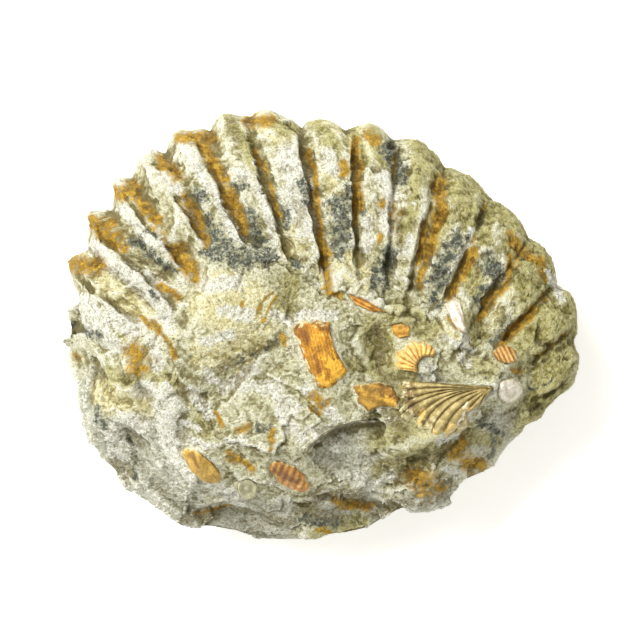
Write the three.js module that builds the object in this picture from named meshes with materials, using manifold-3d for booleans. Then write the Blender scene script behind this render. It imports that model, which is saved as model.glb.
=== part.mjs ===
// An ammonite fossil: half a whorl of a coarsely ribbed ammonite, still in the lump of limestone that holds
// it, with broken shells of other animals in the same stone. It lies on its back on a flat face: +X runs to
// the right, +Y to the back of the whorl, where the ribs end, and +Z up.
// Sizes are millimetres and angles are degrees.

import * as THREE from 'three';
import { mergeVertices } from 'three/addons/utils/BufferGeometryUtils.js';
import Module from 'manifold-3d';

const { lerp, clamp, degToRad, radToDeg } = THREE.MathUtils;

const wasm = await Module();
wasm.setup();

// ---------------------------------------------------------------- driving dimensions

const FIT_GAP = 0.3; // between two pieces that touch

// The whorl. Its ribs all point at one place. Each rib has the angle and reach of its crest, then the angle
// and reach of the groove on its clockwise side, all measured from that place.
const RIB_CENTRE = { x: 11.8, y: -46.9 };
const RIBS = [
  { crest: 142.8, reach: 108.0, groove: 139.3, dip: 105.0 },
  { crest: 135.6, reach: 112.0, groove: 132.5, dip: 108.3 },
  { crest: 129.1, reach: 114.5, groove: 126.8, dip: 110.9 },
  { crest: 124.0, reach: 116.2, groove: 120.6, dip: 112.6 },
  { crest: 117.5, reach: 116.4, groove: 113.3, dip: 111.8 },
  { crest: 110.8, reach: 115.5, groove: 107.0, dip: 112.0 },
  { crest: 104.8, reach: 113.2, groove: 99.5, dip: 105.2 },
  { crest: 96.3, reach: 107.3, groove: 92.6, dip: 103.6 },
  { crest: 89.0, reach: 105.0, groove: 84.6, dip: 100.6 },
  { crest: 81.6, reach: 102.0, groove: 75.5, dip: 95.3 },
  { crest: 72.3, reach: 95.5, groove: 66.0, dip: 91.0 },
  { crest: 62.3, reach: 91.1, groove: 56.2, dip: 86.8 },
  { crest: 53.0, reach: 86.9, groove: 46.0, dip: 81.5 },
  { crest: 42.2, reach: 82.3, groove: 34.8, dip: 74.8 },
  { crest: 31.0, reach: 73.7, groove: 25.2, dip: 66.0 },
];
const OPEN_END = { angle: 152, reach: 90 };
const SMALL_END = { angle: 20.6, reach: 57 };
const MEDIAN_HEIGHT = 29.5; // of the whorl's middle plane above the resting face
const RIB_RELIEF = { open: 5.4, small: 4 }; // depth of a groove on the flank
const SQUARENESS = 2.6; // of the whorl's section: 2 is an ellipse
const END_ROUNDING = { length: 3, scale: 0.74 }; // how each broken end draws in
const SECTION_SIDES = 16;
const STATION_STEP = 2; // degrees between sections of the whorl, about

// By angle: from the whorl's middle plane to a flank, and from the ribs' centre to the whorl's inner edge.
const HALF_BREADTH = [[152, 25], [95, 25], [60, 22], [40, 17.5], [30, 14.5], [20.6, 13]];
const INNER_REACH = [[152, 62], [140, 56], [120, 50], [60, 46], [20.6, 46]];

// The line where the limestone stops lapping over the ribs' inner ends: by angle, its reach
// from the ribs' centre.
const LAP_LINE = [
  [152, 78], [144, 76], [138, 72], [130, 76], [123, 80], [117, 80], [110, 71], [102, 61], [95, 65],
  [87, 59], [79, 58], [69, 57], [64, 62], [60, 63], [56, 59], [51, 56], [40, 62], [30, 56], [19, 52],
];
const LAP_SLOPE = 0.8;

// The limestone. Its rim is where it reaches furthest; behind the ribs it stands back under the whorl.
const ROCK_CENTRE = { x: 0, y: -8 };
const ROCK_RIM = [
  [58.5, -29], [55.5, -33.2], [51.7, -38.5], [47.3, -43.4], [41.5, -46.6], [36.6, -50.7], [31, -53.9],
  [24, -53.6], [18.8, -56.2], [13.3, -59.7], [7.1, -61.2], [-5.4, -61.8], [-18.8, -62.9], [-25.2, -60.6],
  [-32.2, -59.4], [-40.9, -59.4], [-46.5, -54.5], [-58.7, -45.2], [-63.9, -39.3], [-68.6, -32.6],
  [-70.1, -24.8], [-70.6, -16.9], [-73.8, -9.6], [-73.8, -1.7], [-74.2, 4.5], [-66, 8], [-58.8, 16.7],
  [-45, 34.2], [-22.4, 47.1], [3.6, 46.7], [26.9, 38.8], [45.2, 24.7], [56.8, 6.7], [60.8, -5.8], [62, -18],
];
const ROCK_CROWN = 55.5;
const ROCK_HEIGHT = { least: 22, most: 60 };
// Broken faces that fall away to the rim: the way each faces, where it starts and how steeply it falls.
const ROCK_FACES = [
  { facing: -90, start: 36, top: 55, fall: 1.05 },
  { facing: -140, start: 50, top: 54, fall: 1.15 },
  { facing: 180, start: 56, top: 52, fall: 1.3 },
  { facing: -45, start: 50, top: 52, fall: 1.4 },
  { facing: -15, start: 60, top: 50, fall: 2.2 },
];
// Lumps and hollows: place, half-length, half-width, the way the length runs, and rise or fall.
const LUMPS = [
  { x: -26.1, y: 3.5, long: 15, wide: 12, turn: 0, rise: 4.2 }, // the pale lump behind the left ribs
  { x: 0, y: -8, long: 11, wide: 9, turn: -60, rise: 3 }, // the block that carries the ribbed shell
  { x: 22.5, y: 14, long: 11, wide: 4, turn: 50, rise: 3.4 }, // the ridge that runs on from a rib
  { x: -63, y: -28, long: 8, wide: 8, turn: 0, rise: 4 },
  { x: -44.2, y: -26.5, long: 9, wide: 3.5, turn: 90, rise: 3 },
  { x: 28.7, y: -47, long: 8, wide: 6, turn: 20, rise: 3 },
  { x: 15.9, y: -6.5, long: 7, wide: 3.6, turn: 90, rise: -6 }, // the recess right of the ribbed shell
  { x: 8.3, y: -38.2, long: 11, wide: 7, turn: 10, rise: -4.5 }, // the smooth hollow under the shell edge
  { x: -35.4, y: -28, long: 10, wide: 8, turn: 70, rise: -3 },
  { x: -55, y: -34, long: 4, wide: 3, turn: 0, rise: -3 },
  { x: -56.4, y: -42, long: 5, wide: 3.5, turn: 60, rise: -3 },
  { x: -26.7, y: -57, long: 13, wide: 5, turn: 0, rise: -3 },
  { x: 8.3, y: -55.6, long: 12, wide: 5, turn: 5, rise: -3 },
  { x: 33, y: -37.5, long: 12, wide: 3, turn: 38, rise: -3 },
];
// Ledges: the stone drops to the right of each line, walked from its first point, and comes back beyond.
const LEDGES = [
  { line: [[-42.7, -23.6], [-38.3, -17.8], [-23.7, -10.5], [-15, -6.1], [-9.2, -0.3]], drop: 5, reach: 12 },
  { line: [[-4.8, -36.7], [-0.4, -32.9], [3.9, -30], [9.8, -28.5], [18, -28.3]], drop: 4.5, reach: 9 },
  { line: [[-37.5, -54], [-31, -51.9], [-23.7, -52.7], [-16, -54.5]], drop: 4, reach: 7 },
  { line: [[-7, -51.5], [2.5, -48.4], [11.2, -50.4], [23.5, -52.1]], drop: 4, reach: 7 },
  { line: [[-66, -16.3], [-53, -15.8], [-40, -17]], drop: 3, reach: 8 },
];
const ROUGHNESS = 0.5;
const TOP_RINGS = 15; // each with six points more than the last
// The sides under the rim: how far out and how high each ring lies, as a share of the rim's.
const SIDE_RINGS = [[0.975, 0.68], [0.9, 0.34], [0.78, 0.1], [0.64, 0]];

// The embedded shells stand this proud of the stone and reach this deep into it.
const SHELL_PROUD = 0.8;
const SCALLOP_PROUD = 0.5;
const SHELL_DEPTH = 2.2;
const POCKET_GAP = 0.5; // around and under a shell, whose outline grows from its middle
const POCKET_OPEN = 6; // how far a pocket's cutter clears the stone above it

// ---------------------------------------------------------------- closed meshes

// The faces between two closed rings of points. The rings may have different numbers of points.
function bridge(faces, near, far) {
  let i = 0;
  let j = 0;
  const nearEnd = near.count > 1 ? near.count : 0;
  const farEnd = far.count > 1 ? far.count : 0;
  while (i < nearEnd || j < farEnd) {
    const a = near.first + (i % near.count);
    const b = far.first + (j % far.count);
    const nearIsNext = (i + 1) / near.count < (j + 1) / far.count;
    if (j === farEnd || (i < nearEnd && nearIsNext)) {
      i++;
      faces.push(a, b, near.first + (i % near.count));
    } else {
      j++;
      faces.push(a, b, far.first + (j % far.count));
    }
  }
}

const middleOf = (ring) => ring.reduce((sum, p) => sum.add(p), new THREE.Vector3()).divideScalar(ring.length);

// A closed mesh from rings of points, with one more point at the middle of each end.
function closedLoft(rings) {
  const closed = [[middleOf(rings[0])], ...rings, [middleOf(rings[rings.length - 1])]];
  const points = [];
  const faces = [];
  let last = null;
  for (const ring of closed) {
    const here = { first: points.length, count: ring.length };
    points.push(...ring);
    if (last) bridge(faces, last, here);
    last = here;
  }
  const geometry = new THREE.BufferGeometry().setFromPoints(points);
  geometry.setIndex(faces);
  return geometry;
}

function toSolid(geometry) {
  const merged = mergeVertices(geometry, 1e-3);
  return new wasm.Manifold(new wasm.Mesh({
    numProp: 3,
    vertProperties: new Float32Array(merged.attributes.position.array),
    triVerts: new Uint32Array(merged.index.array),
  }));
}

// Back to a three.js geometry, without the crumbs that a cut leaves beside the main body.
function toGeometry(solid) {
  const bodies = solid.decompose().sort((a, b) => b.volume() - a.volume());
  const mesh = bodies[0].getMesh();
  const geometry = new THREE.BufferGeometry();
  geometry.setAttribute('position', new THREE.BufferAttribute(new Float32Array(mesh.vertProperties), 3));
  geometry.setIndex(new THREE.BufferAttribute(new Uint32Array(mesh.triVerts), 1));
  return geometry;
}

// ---------------------------------------------------------------- the whorl

// Piecewise straight interpolation in a list of pairs whose first numbers fall.
function falling(list, at) {
  let from = 0;
  while (from < list.length - 2 && list[from + 1][0] > at) from++;
  const [a, b] = [list[from], list[from + 1]];
  return lerp(a[1], b[1], clamp((a[0] - at) / (a[0] - b[0]), 0, 1));
}

// Its reach and the height of its ribs, from 0 in a groove to 1 on a crest, at each turning point.
const TURNS = [
  { ...OPEN_END, rise: 0 },
  ...RIBS.flatMap((rib) => [
    { angle: rib.crest, reach: rib.reach, rise: 1 },
    { angle: rib.groove, reach: rib.dip, rise: 0 },
  ]),
  { ...SMALL_END, rise: 0 },
];

// Between two turning points a rib is round at its crest and sharp in its groove.
function ribAt(angle) {
  let from = 0;
  while (from < TURNS.length - 2 && TURNS[from + 1].angle > angle) from++;
  const [a, b] = [TURNS[from], TURNS[from + 1]];
  const quarter = (clamp((a.angle - angle) / (a.angle - b.angle), 0, 1) * Math.PI) / 2;
  const share = a.rise > b.rise ? 1 - Math.cos(quarter) : Math.sin(quarter);
  return { reach: lerp(a.reach, b.reach, share), rise: lerp(a.rise, b.rise, share) };
}

// A dimension that changes from the whorl's open end to its small end.
function along(angle, size) {
  const share = clamp((OPEN_END.angle - angle) / (OPEN_END.angle - SMALL_END.angle), 0, 1);
  return lerp(size.open, size.small, share);
}

function endScale(angle) {
  const fromEnd = Math.min(OPEN_END.angle - angle, angle - SMALL_END.angle);
  const share = clamp(fromEnd / END_ROUNDING.length, 0, 1);
  return lerp(END_ROUNDING.scale, 1, Math.sqrt(share));
}

const squared = (value) => Math.sign(value) * Math.abs(value) ** (2 / SQUARENESS);

function whorlPoint(angle, turn, grow) {
  const rib = ribAt(angle);
  const inner = falling(INNER_REACH, angle);
  const scale = endScale(angle);
  const halfHeight = ((rib.reach - inner) / 2) * scale + grow;
  const groove = along(angle, RIB_RELIEF) * (1 - rib.rise);
  const halfBreadth = (falling(HALF_BREADTH, angle) - groove) * scale + grow;
  const reach = (rib.reach + inner) / 2 + halfHeight * squared(Math.cos(turn));
  return new THREE.Vector3(
    RIB_CENTRE.x + reach * Math.cos(degToRad(angle)),
    RIB_CENTRE.y + reach * Math.sin(degToRad(angle)),
    MEDIAN_HEIGHT + halfBreadth * squared(Math.sin(turn)),
  );
}

function whorlAngles(grow) {
  const angles = [];
  for (let i = 1; i < TURNS.length; i++) {
    const span = TURNS[i - 1].angle - TURNS[i].angle;
    const steps = Math.max(2, Math.round(span / STATION_STEP));
    for (let step = 0; step < steps; step++) {
      angles.push(TURNS[i - 1].angle - (span * step) / steps);
    }
  }
  angles.push(SMALL_END.angle);
  const growAngle = radToDeg(grow / SMALL_END.reach);
  angles[0] += growAngle;
  angles[angles.length - 1] -= growAngle;
  return angles;
}

function makeWhorl(grow = 0) {
  const rings = whorlAngles(grow).map((angle) => {
    const ring = [];
    for (let side = 0; side < SECTION_SIDES; side++) {
      ring.push(whorlPoint(angle, (-2 * Math.PI * side) / SECTION_SIDES, grow));
    }
    return ring;
  });
  return closedLoft(rings);
}

// ---------------------------------------------------------------- the limestone

// The highest that the stone may stand at a place, so that it stops at the lap line and dips into the whorl.
function lapHeight(x, y) {
  const dx = x - RIB_CENTRE.x;
  const dy = y - RIB_CENTRE.y;
  const angle = radToDeg(Math.atan2(dy, dx));
  if (angle > OPEN_END.angle || angle < SMALL_END.angle) return Infinity;
  const distance = Math.hypot(dx, dy);
  const lap = falling(LAP_LINE, angle);
  const inner = falling(INNER_REACH, angle);
  const { reach } = ribAt(angle);
  const flankReach = Math.max(distance, lap);
  const off = clamp(Math.abs(flankReach - (reach + inner) / 2) / ((reach - inner) / 2), 0, 1);
  const flank = MEDIAN_HEIGHT
    + falling(HALF_BREADTH, angle) * endScale(angle) * (1 - off ** SQUARENESS) ** (1 / SQUARENESS);
  return flank + LAP_SLOPE * (lap - distance);
}

// 1 at a lump's middle, falling smoothly to nothing around it.
function bell(x, y, lump) {
  const turn = degToRad(lump.turn);
  const dx = x - lump.x;
  const dy = y - lump.y;
  const u = (dx * Math.cos(turn) + dy * Math.sin(turn)) / lump.long;
  const v = (dy * Math.cos(turn) - dx * Math.sin(turn)) / lump.wide;
  return Math.exp(-((u * u + v * v) ** 1.5) / 1.2);
}

// How far the stone has dropped at a place beside a ledge: most at its middle, nothing past its ends.
function ledgeDrop(x, y, ledge) {
  let best = { distance: Infinity, place: 0, right: false };
  const pieces = ledge.line.length - 1;
  for (let i = 0; i < pieces; i++) {
    const [[ax, ay], [bx, by]] = [ledge.line[i], ledge.line[i + 1]];
    const [sx, sy] = [bx - ax, by - ay];
    const share = clamp(((x - ax) * sx + (y - ay) * sy) / (sx * sx + sy * sy), 0, 1);
    const distance = Math.hypot(x - ax - share * sx, y - ay - share * sy);
    if (distance < best.distance) {
      const right = sx * (y - ay) - sy * (x - ax) < 0;
      best = { distance, place: (i + share) / pieces, right };
    }
  }
  if (!best.right) return 0;
  return ledge.drop * Math.sin(Math.PI * best.place) ** 0.5 * Math.exp(-((best.distance / ledge.reach) ** 2));
}

const ripple = (x, y) => ROUGHNESS * (Math.sin(0.7 * x + 1.1 * y) + Math.sin(1.3 * x - 0.6 * y + 2));

function rockTop(x, y) {
  let height = ROCK_CROWN;
  for (const face of ROCK_FACES) {
    const out = x * Math.cos(degToRad(face.facing)) + y * Math.sin(degToRad(face.facing));
    height = Math.min(height, face.top - face.fall * (out - face.start));
  }
  for (const lump of LUMPS) height += lump.rise * bell(x, y, lump);
  for (const ledge of LEDGES) height -= ledgeDrop(x, y, ledge);
  height += ripple(x, y);
  return clamp(Math.min(height, lapHeight(x, y)), ROCK_HEIGHT.least, ROCK_HEIGHT.most);
}

// The rim's distance from the rock's centre in each direction, straight between its corners.
const RIM_TURNS = ROCK_RIM.map(([x, y]) => {
  const dx = x - ROCK_CENTRE.x;
  const dy = y - ROCK_CENTRE.y;
  return [(radToDeg(Math.atan2(dy, dx)) + 360) % 360, Math.hypot(dx, dy)];
}).sort((a, b) => b[0] - a[0]);
const [RIM_FIRST, RIM_LAST] = [RIM_TURNS[0], RIM_TURNS[RIM_TURNS.length - 1]];
const RIM_CLOSED = [[RIM_LAST[0] + 360, RIM_LAST[1]], ...RIM_TURNS, [RIM_FIRST[0] - 360, RIM_FIRST[1]]];

function rimPoint(side, sides) {
  const direction = (360 * side) / sides;
  const reach = falling(RIM_CLOSED, direction);
  return [Math.cos(degToRad(direction)) * reach, Math.sin(degToRad(direction)) * reach];
}

function makeRock() {
  const rings = [];
  for (let ring = 1; ring <= TOP_RINGS; ring++) {
    const points = [];
    for (let side = 0; side < 6 * ring; side++) {
      const [dx, dy] = rimPoint(side, 6 * ring);
      const [x, y] = [ROCK_CENTRE.x + (dx * ring) / TOP_RINGS, ROCK_CENTRE.y + (dy * ring) / TOP_RINGS];
      points.push(new THREE.Vector3(x, y, rockTop(x, y)));
    }
    rings.push(points);
  }
  const rim = rings[rings.length - 1];
  for (const [out, up] of SIDE_RINGS) {
    rings.push(rim.map((p) => (
      new THREE.Vector3(lerp(ROCK_CENTRE.x, p.x, out), lerp(ROCK_CENTRE.y, p.y, out), up * p.z)
    )));
  }
  return closedLoft(rings);
}

// ---------------------------------------------------------------- the embedded shells

// A shell lies in the stone's own surface. Its outline is drawn in from the middle in rings; `form` gives how
// much higher than the stone its skin is, from the share of the way out and the place in the outline.
function makeShell(shell, grow = 0) {
  const { middle, outline, form, depth = SHELL_DEPTH } = shell;
  const pocket = grow > 0;
  const ringAt = (out, height) => outline.map(([x, y], i) => {
    const [dx, dy] = [x - middle[0], y - middle[1]];
    const length = Math.hypot(dx, dy);
    const reach = out * (length + grow) / length;
    const [px, py] = [middle[0] + dx * reach, middle[1] + dy * reach];
    return new THREE.Vector3(px, py, rockTop(px, py) + height(out, i));
  });
  const skin = pocket ? () => POCKET_OPEN : form;
  const rings = [0.3, 0.65, 1].map((out) => ringAt(out, skin));
  rings.push(ringAt(1, () => -depth - grow));
  rings.push(ringAt(0.5, () => -depth - grow));
  return closedLoft(rings);
}

// The points of an oval, or of part of a fan whose reach is given at falling angles.
function oval(middle, long, wide, turn, sides) {
  const points = [];
  for (let side = 0; side < sides; side++) {
    const angle = (2 * Math.PI * side) / sides;
    const [u, v] = [long * Math.cos(angle), wide * Math.sin(angle)];
    const [c, s] = [Math.cos(degToRad(turn)), Math.sin(degToRad(turn))];
    points.push([middle[0] + u * c - v * s, middle[1] + u * s + v * c]);
  }
  return points;
}

// A scallop's outline, two points to a rib, and round behind its beak.
function fan(beak, reaches, ribs) {
  const [first, last] = [reaches[0][0], reaches[reaches.length - 1][0]];
  const points = [];
  for (let i = 0; i <= 2 * ribs; i++) {
    const angle = lerp(last, first, i / (2 * ribs));
    const reach = falling(reaches, angle);
    points.push([beak[0] + reach * Math.cos(degToRad(angle)), beak[1] + reach * Math.sin(degToRad(angle))]);
  }
  const behind = degToRad((first + last) / 2 + 180);
  points.push([beak[0] + 1.5 * Math.cos(behind), beak[1] + 1.5 * Math.sin(behind)]);
  return points;
}

const crowned = (crown) => (out) => SHELL_PROUD + crown * (1 - out * out);
// A scallop is hollow at its beak, swells in the middle and has a rib at every other point of its margin.
const scalloped = (crown, rib) => (out, i) => (
  SCALLOP_PROUD + crown * Math.sin(Math.PI * out) + rib * out * (i % 2 ? 1 : -0.4)
);

const LARGE_BEAK = [48.5, -18.6];
const SMALL_BEAK = [29.3, -13.1];

const SHELLS = {
  large_scallop: {
    middle: LARGE_BEAK,
    outline: fan(LARGE_BEAK, [[242, 13], [234, 17], [221, 20.5], [208, 24.1], [192, 25.9], [174, 23.5]], 10),
    form: scalloped(1.4, 0.6),
  },
  small_scallop: {
    middle: SMALL_BEAK,
    outline: fan(SMALL_BEAK, [[178, 8.2], [150, 9.1], [120, 8.9], [88, 8], [55, 6.2]], 7),
    form: scalloped(1, 0.4),
    depth: 1.8,
  },
  ribbed_shell: {
    middle: [0, -8.5],
    outline: [
      [2.5, 0.9], [-2, 1.6], [-5.4, 1.2], [-8.6, -0.9], [-6.3, -7.6], [-3.4, -14], [-1, -18.1], [2.5, -18.6],
      [6.8, -16.3], [8, -13.4], [5.4, -9.9], [3.3, -4.7],
    ],
    form: crowned(1.4),
  },
  worn_shell: {
    middle: [15.5, -20.8],
    outline: [
      [20.5, -17.8], [16.5, -16.6], [8.9, -17.8], [10.6, -22.7], [13.5, -25.1], [17, -23.6], [22.3, -24.5],
      [22.9, -21.3],
    ],
    form: crowned(0.8),
  },
  shell_strip: {
    middle: [12.6, 5.8],
    outline: [[11.2, 7.6], [7.7, 8.4], [9.8, 5.5], [14.7, 3.5], [19.1, 3.2], [15.6, 5.2]],
    form: crowned(0.5),
    depth: 1.5,
  },
  shell_chip: {
    middle: [22.7, -1.8],
    outline: [[22.9, 0.3], [20, -0.3], [20.2, -2.6], [22.3, -4.1], [25.2, -3.5], [25.5, -0.6]],
    form: crowned(0.5),
    depth: 1.5,
  },
  round_shell: {
    middle: [54.2, -19.2],
    outline: oval([54.2, -19.2], 3.8, 3.6, 0, 12),
    form: crowned(1.6),
    depth: 1.4,
  },
  scallop_fragment: {
    middle: [52.9, -8.8],
    outline: [
      [56.1, -7.6], [53.5, -6.1], [51.1, -6.4], [49.1, -8.2], [50.5, -10.5], [53.5, -11.7], [56.4, -10.5],
    ],
    form: crowned(0.7),
    depth: 1.5,
  },
  broken_shell: {
    middle: [39, 2.4],
    outline: [[39.8, 6.1], [38, 7.6], [35.4, 5.5], [37.4, 0.6], [39.8, -2.6], [42.1, -3.2], [40.9, 1.7]],
    form: crowned(1),
  },
  left_oval_shell: {
    middle: [-34.5, -41.1],
    outline: oval([-34.5, -41.1], 7.2, 3.1, -42, 14),
    form: crowned(0.5),
  },
  right_oval_shell: {
    middle: [-9.2, -44],
    outline: oval([-9.2, -44], 6.9, 3.2, -36, 14),
    form: crowned(0.9),
  },
  ring_shell: {
    middle: [-21.4, -47.5],
    outline: oval([-21.4, -47.5], 2.9, 2.9, 0, 12),
    form: (out) => SHELL_PROUD + (out < 0.5 ? -0.9 : 0.2),
  },
};

// The thin edge of a buried shell, which stands along the ledge over the smooth hollow.
const EDGE_LINE = [[-5.2, -37.4], [-3.6, -35.4], [-0.6, -32.6], [3.9, -29.7], [9.8, -28.1], [16.4, -27.9]];
const EDGE_HALF_WIDTH = 0.6;
const EDGE_PROUD = 0.5;
const EDGE_DEPTH = 3;

function makeShellEdge(grow = 0) {
  const rings = EDGE_LINE.map(([x, y], i) => {
    const [from, to] = [EDGE_LINE[Math.max(i - 1, 0)], EDGE_LINE[Math.min(i + 1, EDGE_LINE.length - 1)]];
    const ahead = new THREE.Vector2(to[0] - from[0], to[1] - from[1]).normalize();
    const end = i === 0 ? -grow : i === EDGE_LINE.length - 1 ? grow : 0;
    const [cx, cy] = [x + ahead.x * end, y + ahead.y * end];
    const top = rockTop(x - ahead.y * 2, y + ahead.x * 2) + (grow > 0 ? POCKET_OPEN : EDGE_PROUD);
    const foot = top - (grow > 0 ? POCKET_OPEN - EDGE_PROUD : 0) - EDGE_DEPTH - grow;
    const half = EDGE_HALF_WIDTH + grow;
    return [[-half, top], [half, top], [half, foot], [-half, foot]].map(([side, z]) => (
      new THREE.Vector3(cx - ahead.y * side, cy + ahead.x * side, z)
    ));
  });
  return closedLoft(rings);
}

// ---------------------------------------------------------------- the fossil

const CAST_STONE = new THREE.MeshStandardMaterial({ color: 0xbfbd9c, roughness: 0.9, metalness: 0 });
const LIMESTONE = new THREE.MeshStandardMaterial({ color: 0xc9c6a6, roughness: 0.95, metalness: 0 });
const ORANGE_SHELL = new THREE.MeshStandardMaterial({ color: 0xd49a35, roughness: 0.6, metalness: 0 });
const PALE_SHELL = new THREE.MeshStandardMaterial({ color: 0xddd3b4, roughness: 0.7, metalness: 0 });
const PALE_SHELLS = ['large_scallop', 'round_shell', 'broken_shell', 'ring_shell', 'shell_edge'];

const fossil = new THREE.Group();

function addPiece(name, geometry, material) {
  const mesh = new THREE.Mesh(geometry, material);
  mesh.name = name;
  fossil.add(mesh);
}

addPiece('ammonite', makeWhorl(), CAST_STONE);

let stone = toSolid(makeRock()).subtract(toSolid(makeWhorl(FIT_GAP)));
for (const [name, shell] of Object.entries(SHELLS)) {
  stone = stone.subtract(toSolid(makeShell(shell, POCKET_GAP)));
  addPiece(name, makeShell(shell), PALE_SHELLS.includes(name) ? PALE_SHELL : ORANGE_SHELL);
}
stone = stone.subtract(toSolid(makeShellEdge(POCKET_GAP)));
addPiece('shell_edge', makeShellEdge(), PALE_SHELL);
addPiece('matrix', toGeometry(stone), LIMESTONE);

export default fossil;
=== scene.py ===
# %% [markdown]
# # An ammonite in its limestone
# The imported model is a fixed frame: fifteen solids at their real size, lying on the floor with the ribs up.
# Blender adds what a plain solid can't hold: broken stone, worn ribs, stains and the grain of each shell.
# Each piece is made again as a dense mesh from the same measures, and takes the place of its plain solid.

# %% Load the frame
import math

import bpy
import numpy as np
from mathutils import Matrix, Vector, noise


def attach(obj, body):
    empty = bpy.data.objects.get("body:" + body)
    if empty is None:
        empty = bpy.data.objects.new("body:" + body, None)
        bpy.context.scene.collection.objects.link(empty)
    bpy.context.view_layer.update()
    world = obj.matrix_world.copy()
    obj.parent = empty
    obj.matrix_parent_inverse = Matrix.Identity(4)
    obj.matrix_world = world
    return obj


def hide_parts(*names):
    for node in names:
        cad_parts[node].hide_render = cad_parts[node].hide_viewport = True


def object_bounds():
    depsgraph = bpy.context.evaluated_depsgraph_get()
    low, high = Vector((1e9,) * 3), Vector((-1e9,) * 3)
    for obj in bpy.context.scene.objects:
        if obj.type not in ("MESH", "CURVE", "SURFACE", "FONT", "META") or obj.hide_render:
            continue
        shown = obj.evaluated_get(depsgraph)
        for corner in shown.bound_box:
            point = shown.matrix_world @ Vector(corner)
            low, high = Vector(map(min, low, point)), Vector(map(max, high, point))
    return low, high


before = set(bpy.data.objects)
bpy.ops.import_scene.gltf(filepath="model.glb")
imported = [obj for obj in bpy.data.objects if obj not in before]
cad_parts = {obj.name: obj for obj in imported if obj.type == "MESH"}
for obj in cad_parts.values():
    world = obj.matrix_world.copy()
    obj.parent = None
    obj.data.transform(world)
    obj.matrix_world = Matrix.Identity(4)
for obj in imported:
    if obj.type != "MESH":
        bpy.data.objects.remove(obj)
CAD_LOW, CAD_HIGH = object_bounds()
print("frame box in metres:", tuple(CAD_LOW), tuple(CAD_HIGH))

# %% [markdown]
# The fossil lies down, so the camera hangs over it and looks straight down. A long lens from far away keeps
# the picture nearly flat, as a picture of a specimen should be. A wide lens close by would swell the middle.

# %% Camera
LENS_MM = 300
SENSOR_MM = 36
PICTURE_WIDTH = 0.1864  # metres across the picture, at the height of the whorl's middle
FOCUS_HEIGHT = 0.03
CAMERA_X = -0.00044
CAMERA_Y = 0.00117

camera_data = bpy.data.cameras.new("camera")
camera_data.lens = LENS_MM
camera_data.sensor_width = SENSOR_MM
camera = bpy.data.objects.new("camera", camera_data)
camera.location = (CAMERA_X, CAMERA_Y, FOCUS_HEIGHT + PICTURE_WIDTH * LENS_MM / SENSOR_MM)
bpy.context.scene.collection.objects.link(camera)
bpy.context.scene.camera = camera
bpy.context.scene.view_settings.view_transform = "Standard"
print("camera height in metres:", round(camera.location.z, 3))

# %% [markdown]
# Stone is rough at every scale at once. One smooth noise gives lumps of one size, and several octaves of it,
# each half as large and half as strong, give a surface that looks natural from near and far.
# Fresh breaks are different: they are small scoops that meet in sharp ridges. Here each scoop is a tilted
# bowl round a scattered point, and the lowest of the nearest bowls wins, so the bowls cut each other.

# %% Noise helpers
MM = 0.001
SEED_STEP = np.array([31.7, 17.3, 53.9])
SKEW = np.array([[0.36, 0.48, -0.8], [-0.8, 0.6, 0], [0.48, 0.64, 0.6]])  # a turn, so that no grid shows
SCOOP_TILT = 1.8  # how steeply a scoop may lie, how hollow it is, and how much one stands over the next
SCOOP_HOLLOW = 0.4
SCOOP_STEP = 0.25


def layered(points, size, octaves=2, seed=0):
    """Smooth noise about 0, within about 1, whose largest lumps are `size` mm apart."""
    places = (points @ SKEW / size + seed * SEED_STEP).tolist()
    return np.array([noise.fractal(p, 1.0, 2.0, octaves, noise_basis="PERLIN_ORIGINAL") for p in places])


def scoop_height(place):
    distances, middles = noise.voronoi(place)
    heights = []
    for distance, middle in zip(distances, middles):
        tilt = noise.cell_vector(middle)
        offset = [a - b for a, b in zip(place, middle)]
        slope = sum(o * (t - 0.5) for o, t in zip(offset, tilt))
        heights.append(SCOOP_TILT * slope + SCOOP_HOLLOW * distance * distance + SCOOP_STEP * tilt[0])
    return min(heights)


def scoops(points, size, seed=0):
    """Broken facets `size` mm across, about 0."""
    places = (points @ SKEW / size + seed * SEED_STEP).tolist()
    heights = np.array([scoop_height(p) for p in places])
    return heights - heights.mean()


def rough(points, layers):
    """The sum of several noises, each given as its kind, its height, its size in mm and its seed."""
    return sum(height * kind(points, size, seed=seed) for kind, height, size, seed in layers)


def smooth_step(low, high, value):
    share = np.clip((value - low) / (high - low), 0, 1)
    return share * share * (3 - 2 * share)


def falling(pairs, at):
    """Reads a value from pairs of angle and value, whose angles fall."""
    table = np.array(pairs, float)[::-1]
    return np.interp(at, table[:, 0], table[:, 1])


print("height of a scoop at one place:", round(scoop_height(SEED_STEP.tolist()), 3))

# %% [markdown]
# Each surface here is a stack of closed rings of points, like the rungs of a barrel. Neighbouring rings may
# have different numbers of points, so that a disc can have few at its middle and many at its rim. The faces
# between two rings are made by walking round both at once and always moving on the one that is behind.

# %% Meshes from rings
EDGE_ROUNDS = 2  # how far round a point its neighbours are smoothed, to find edges and then whole lumps
EDGE_HEIGHT = 0.1  # mm
SWELL_ROUNDS = 24
SWELL_HEIGHT = 0.6  # mm


def bridge(faces, near, far):
    """Adds the triangles between two rings, each given as (first point, number of points)."""
    (near_first, near_count), (far_first, far_count) = near, far
    near_end = near_count if near_count > 1 else 0
    far_end = far_count if far_count > 1 else 0
    i = 0
    j = 0
    while i < near_end or j < far_end:
        a = near_first + i % near_count
        b = far_first + j % far_count
        near_is_next = (i + 1) / near_count < (j + 1) / far_count
        if j == far_end or (i < near_end and near_is_next):
            i += 1
            faces.append((a, b, near_first + i % near_count))
        else:
            j += 1
            faces.append((a, b, far_first + j % far_count))


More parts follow.
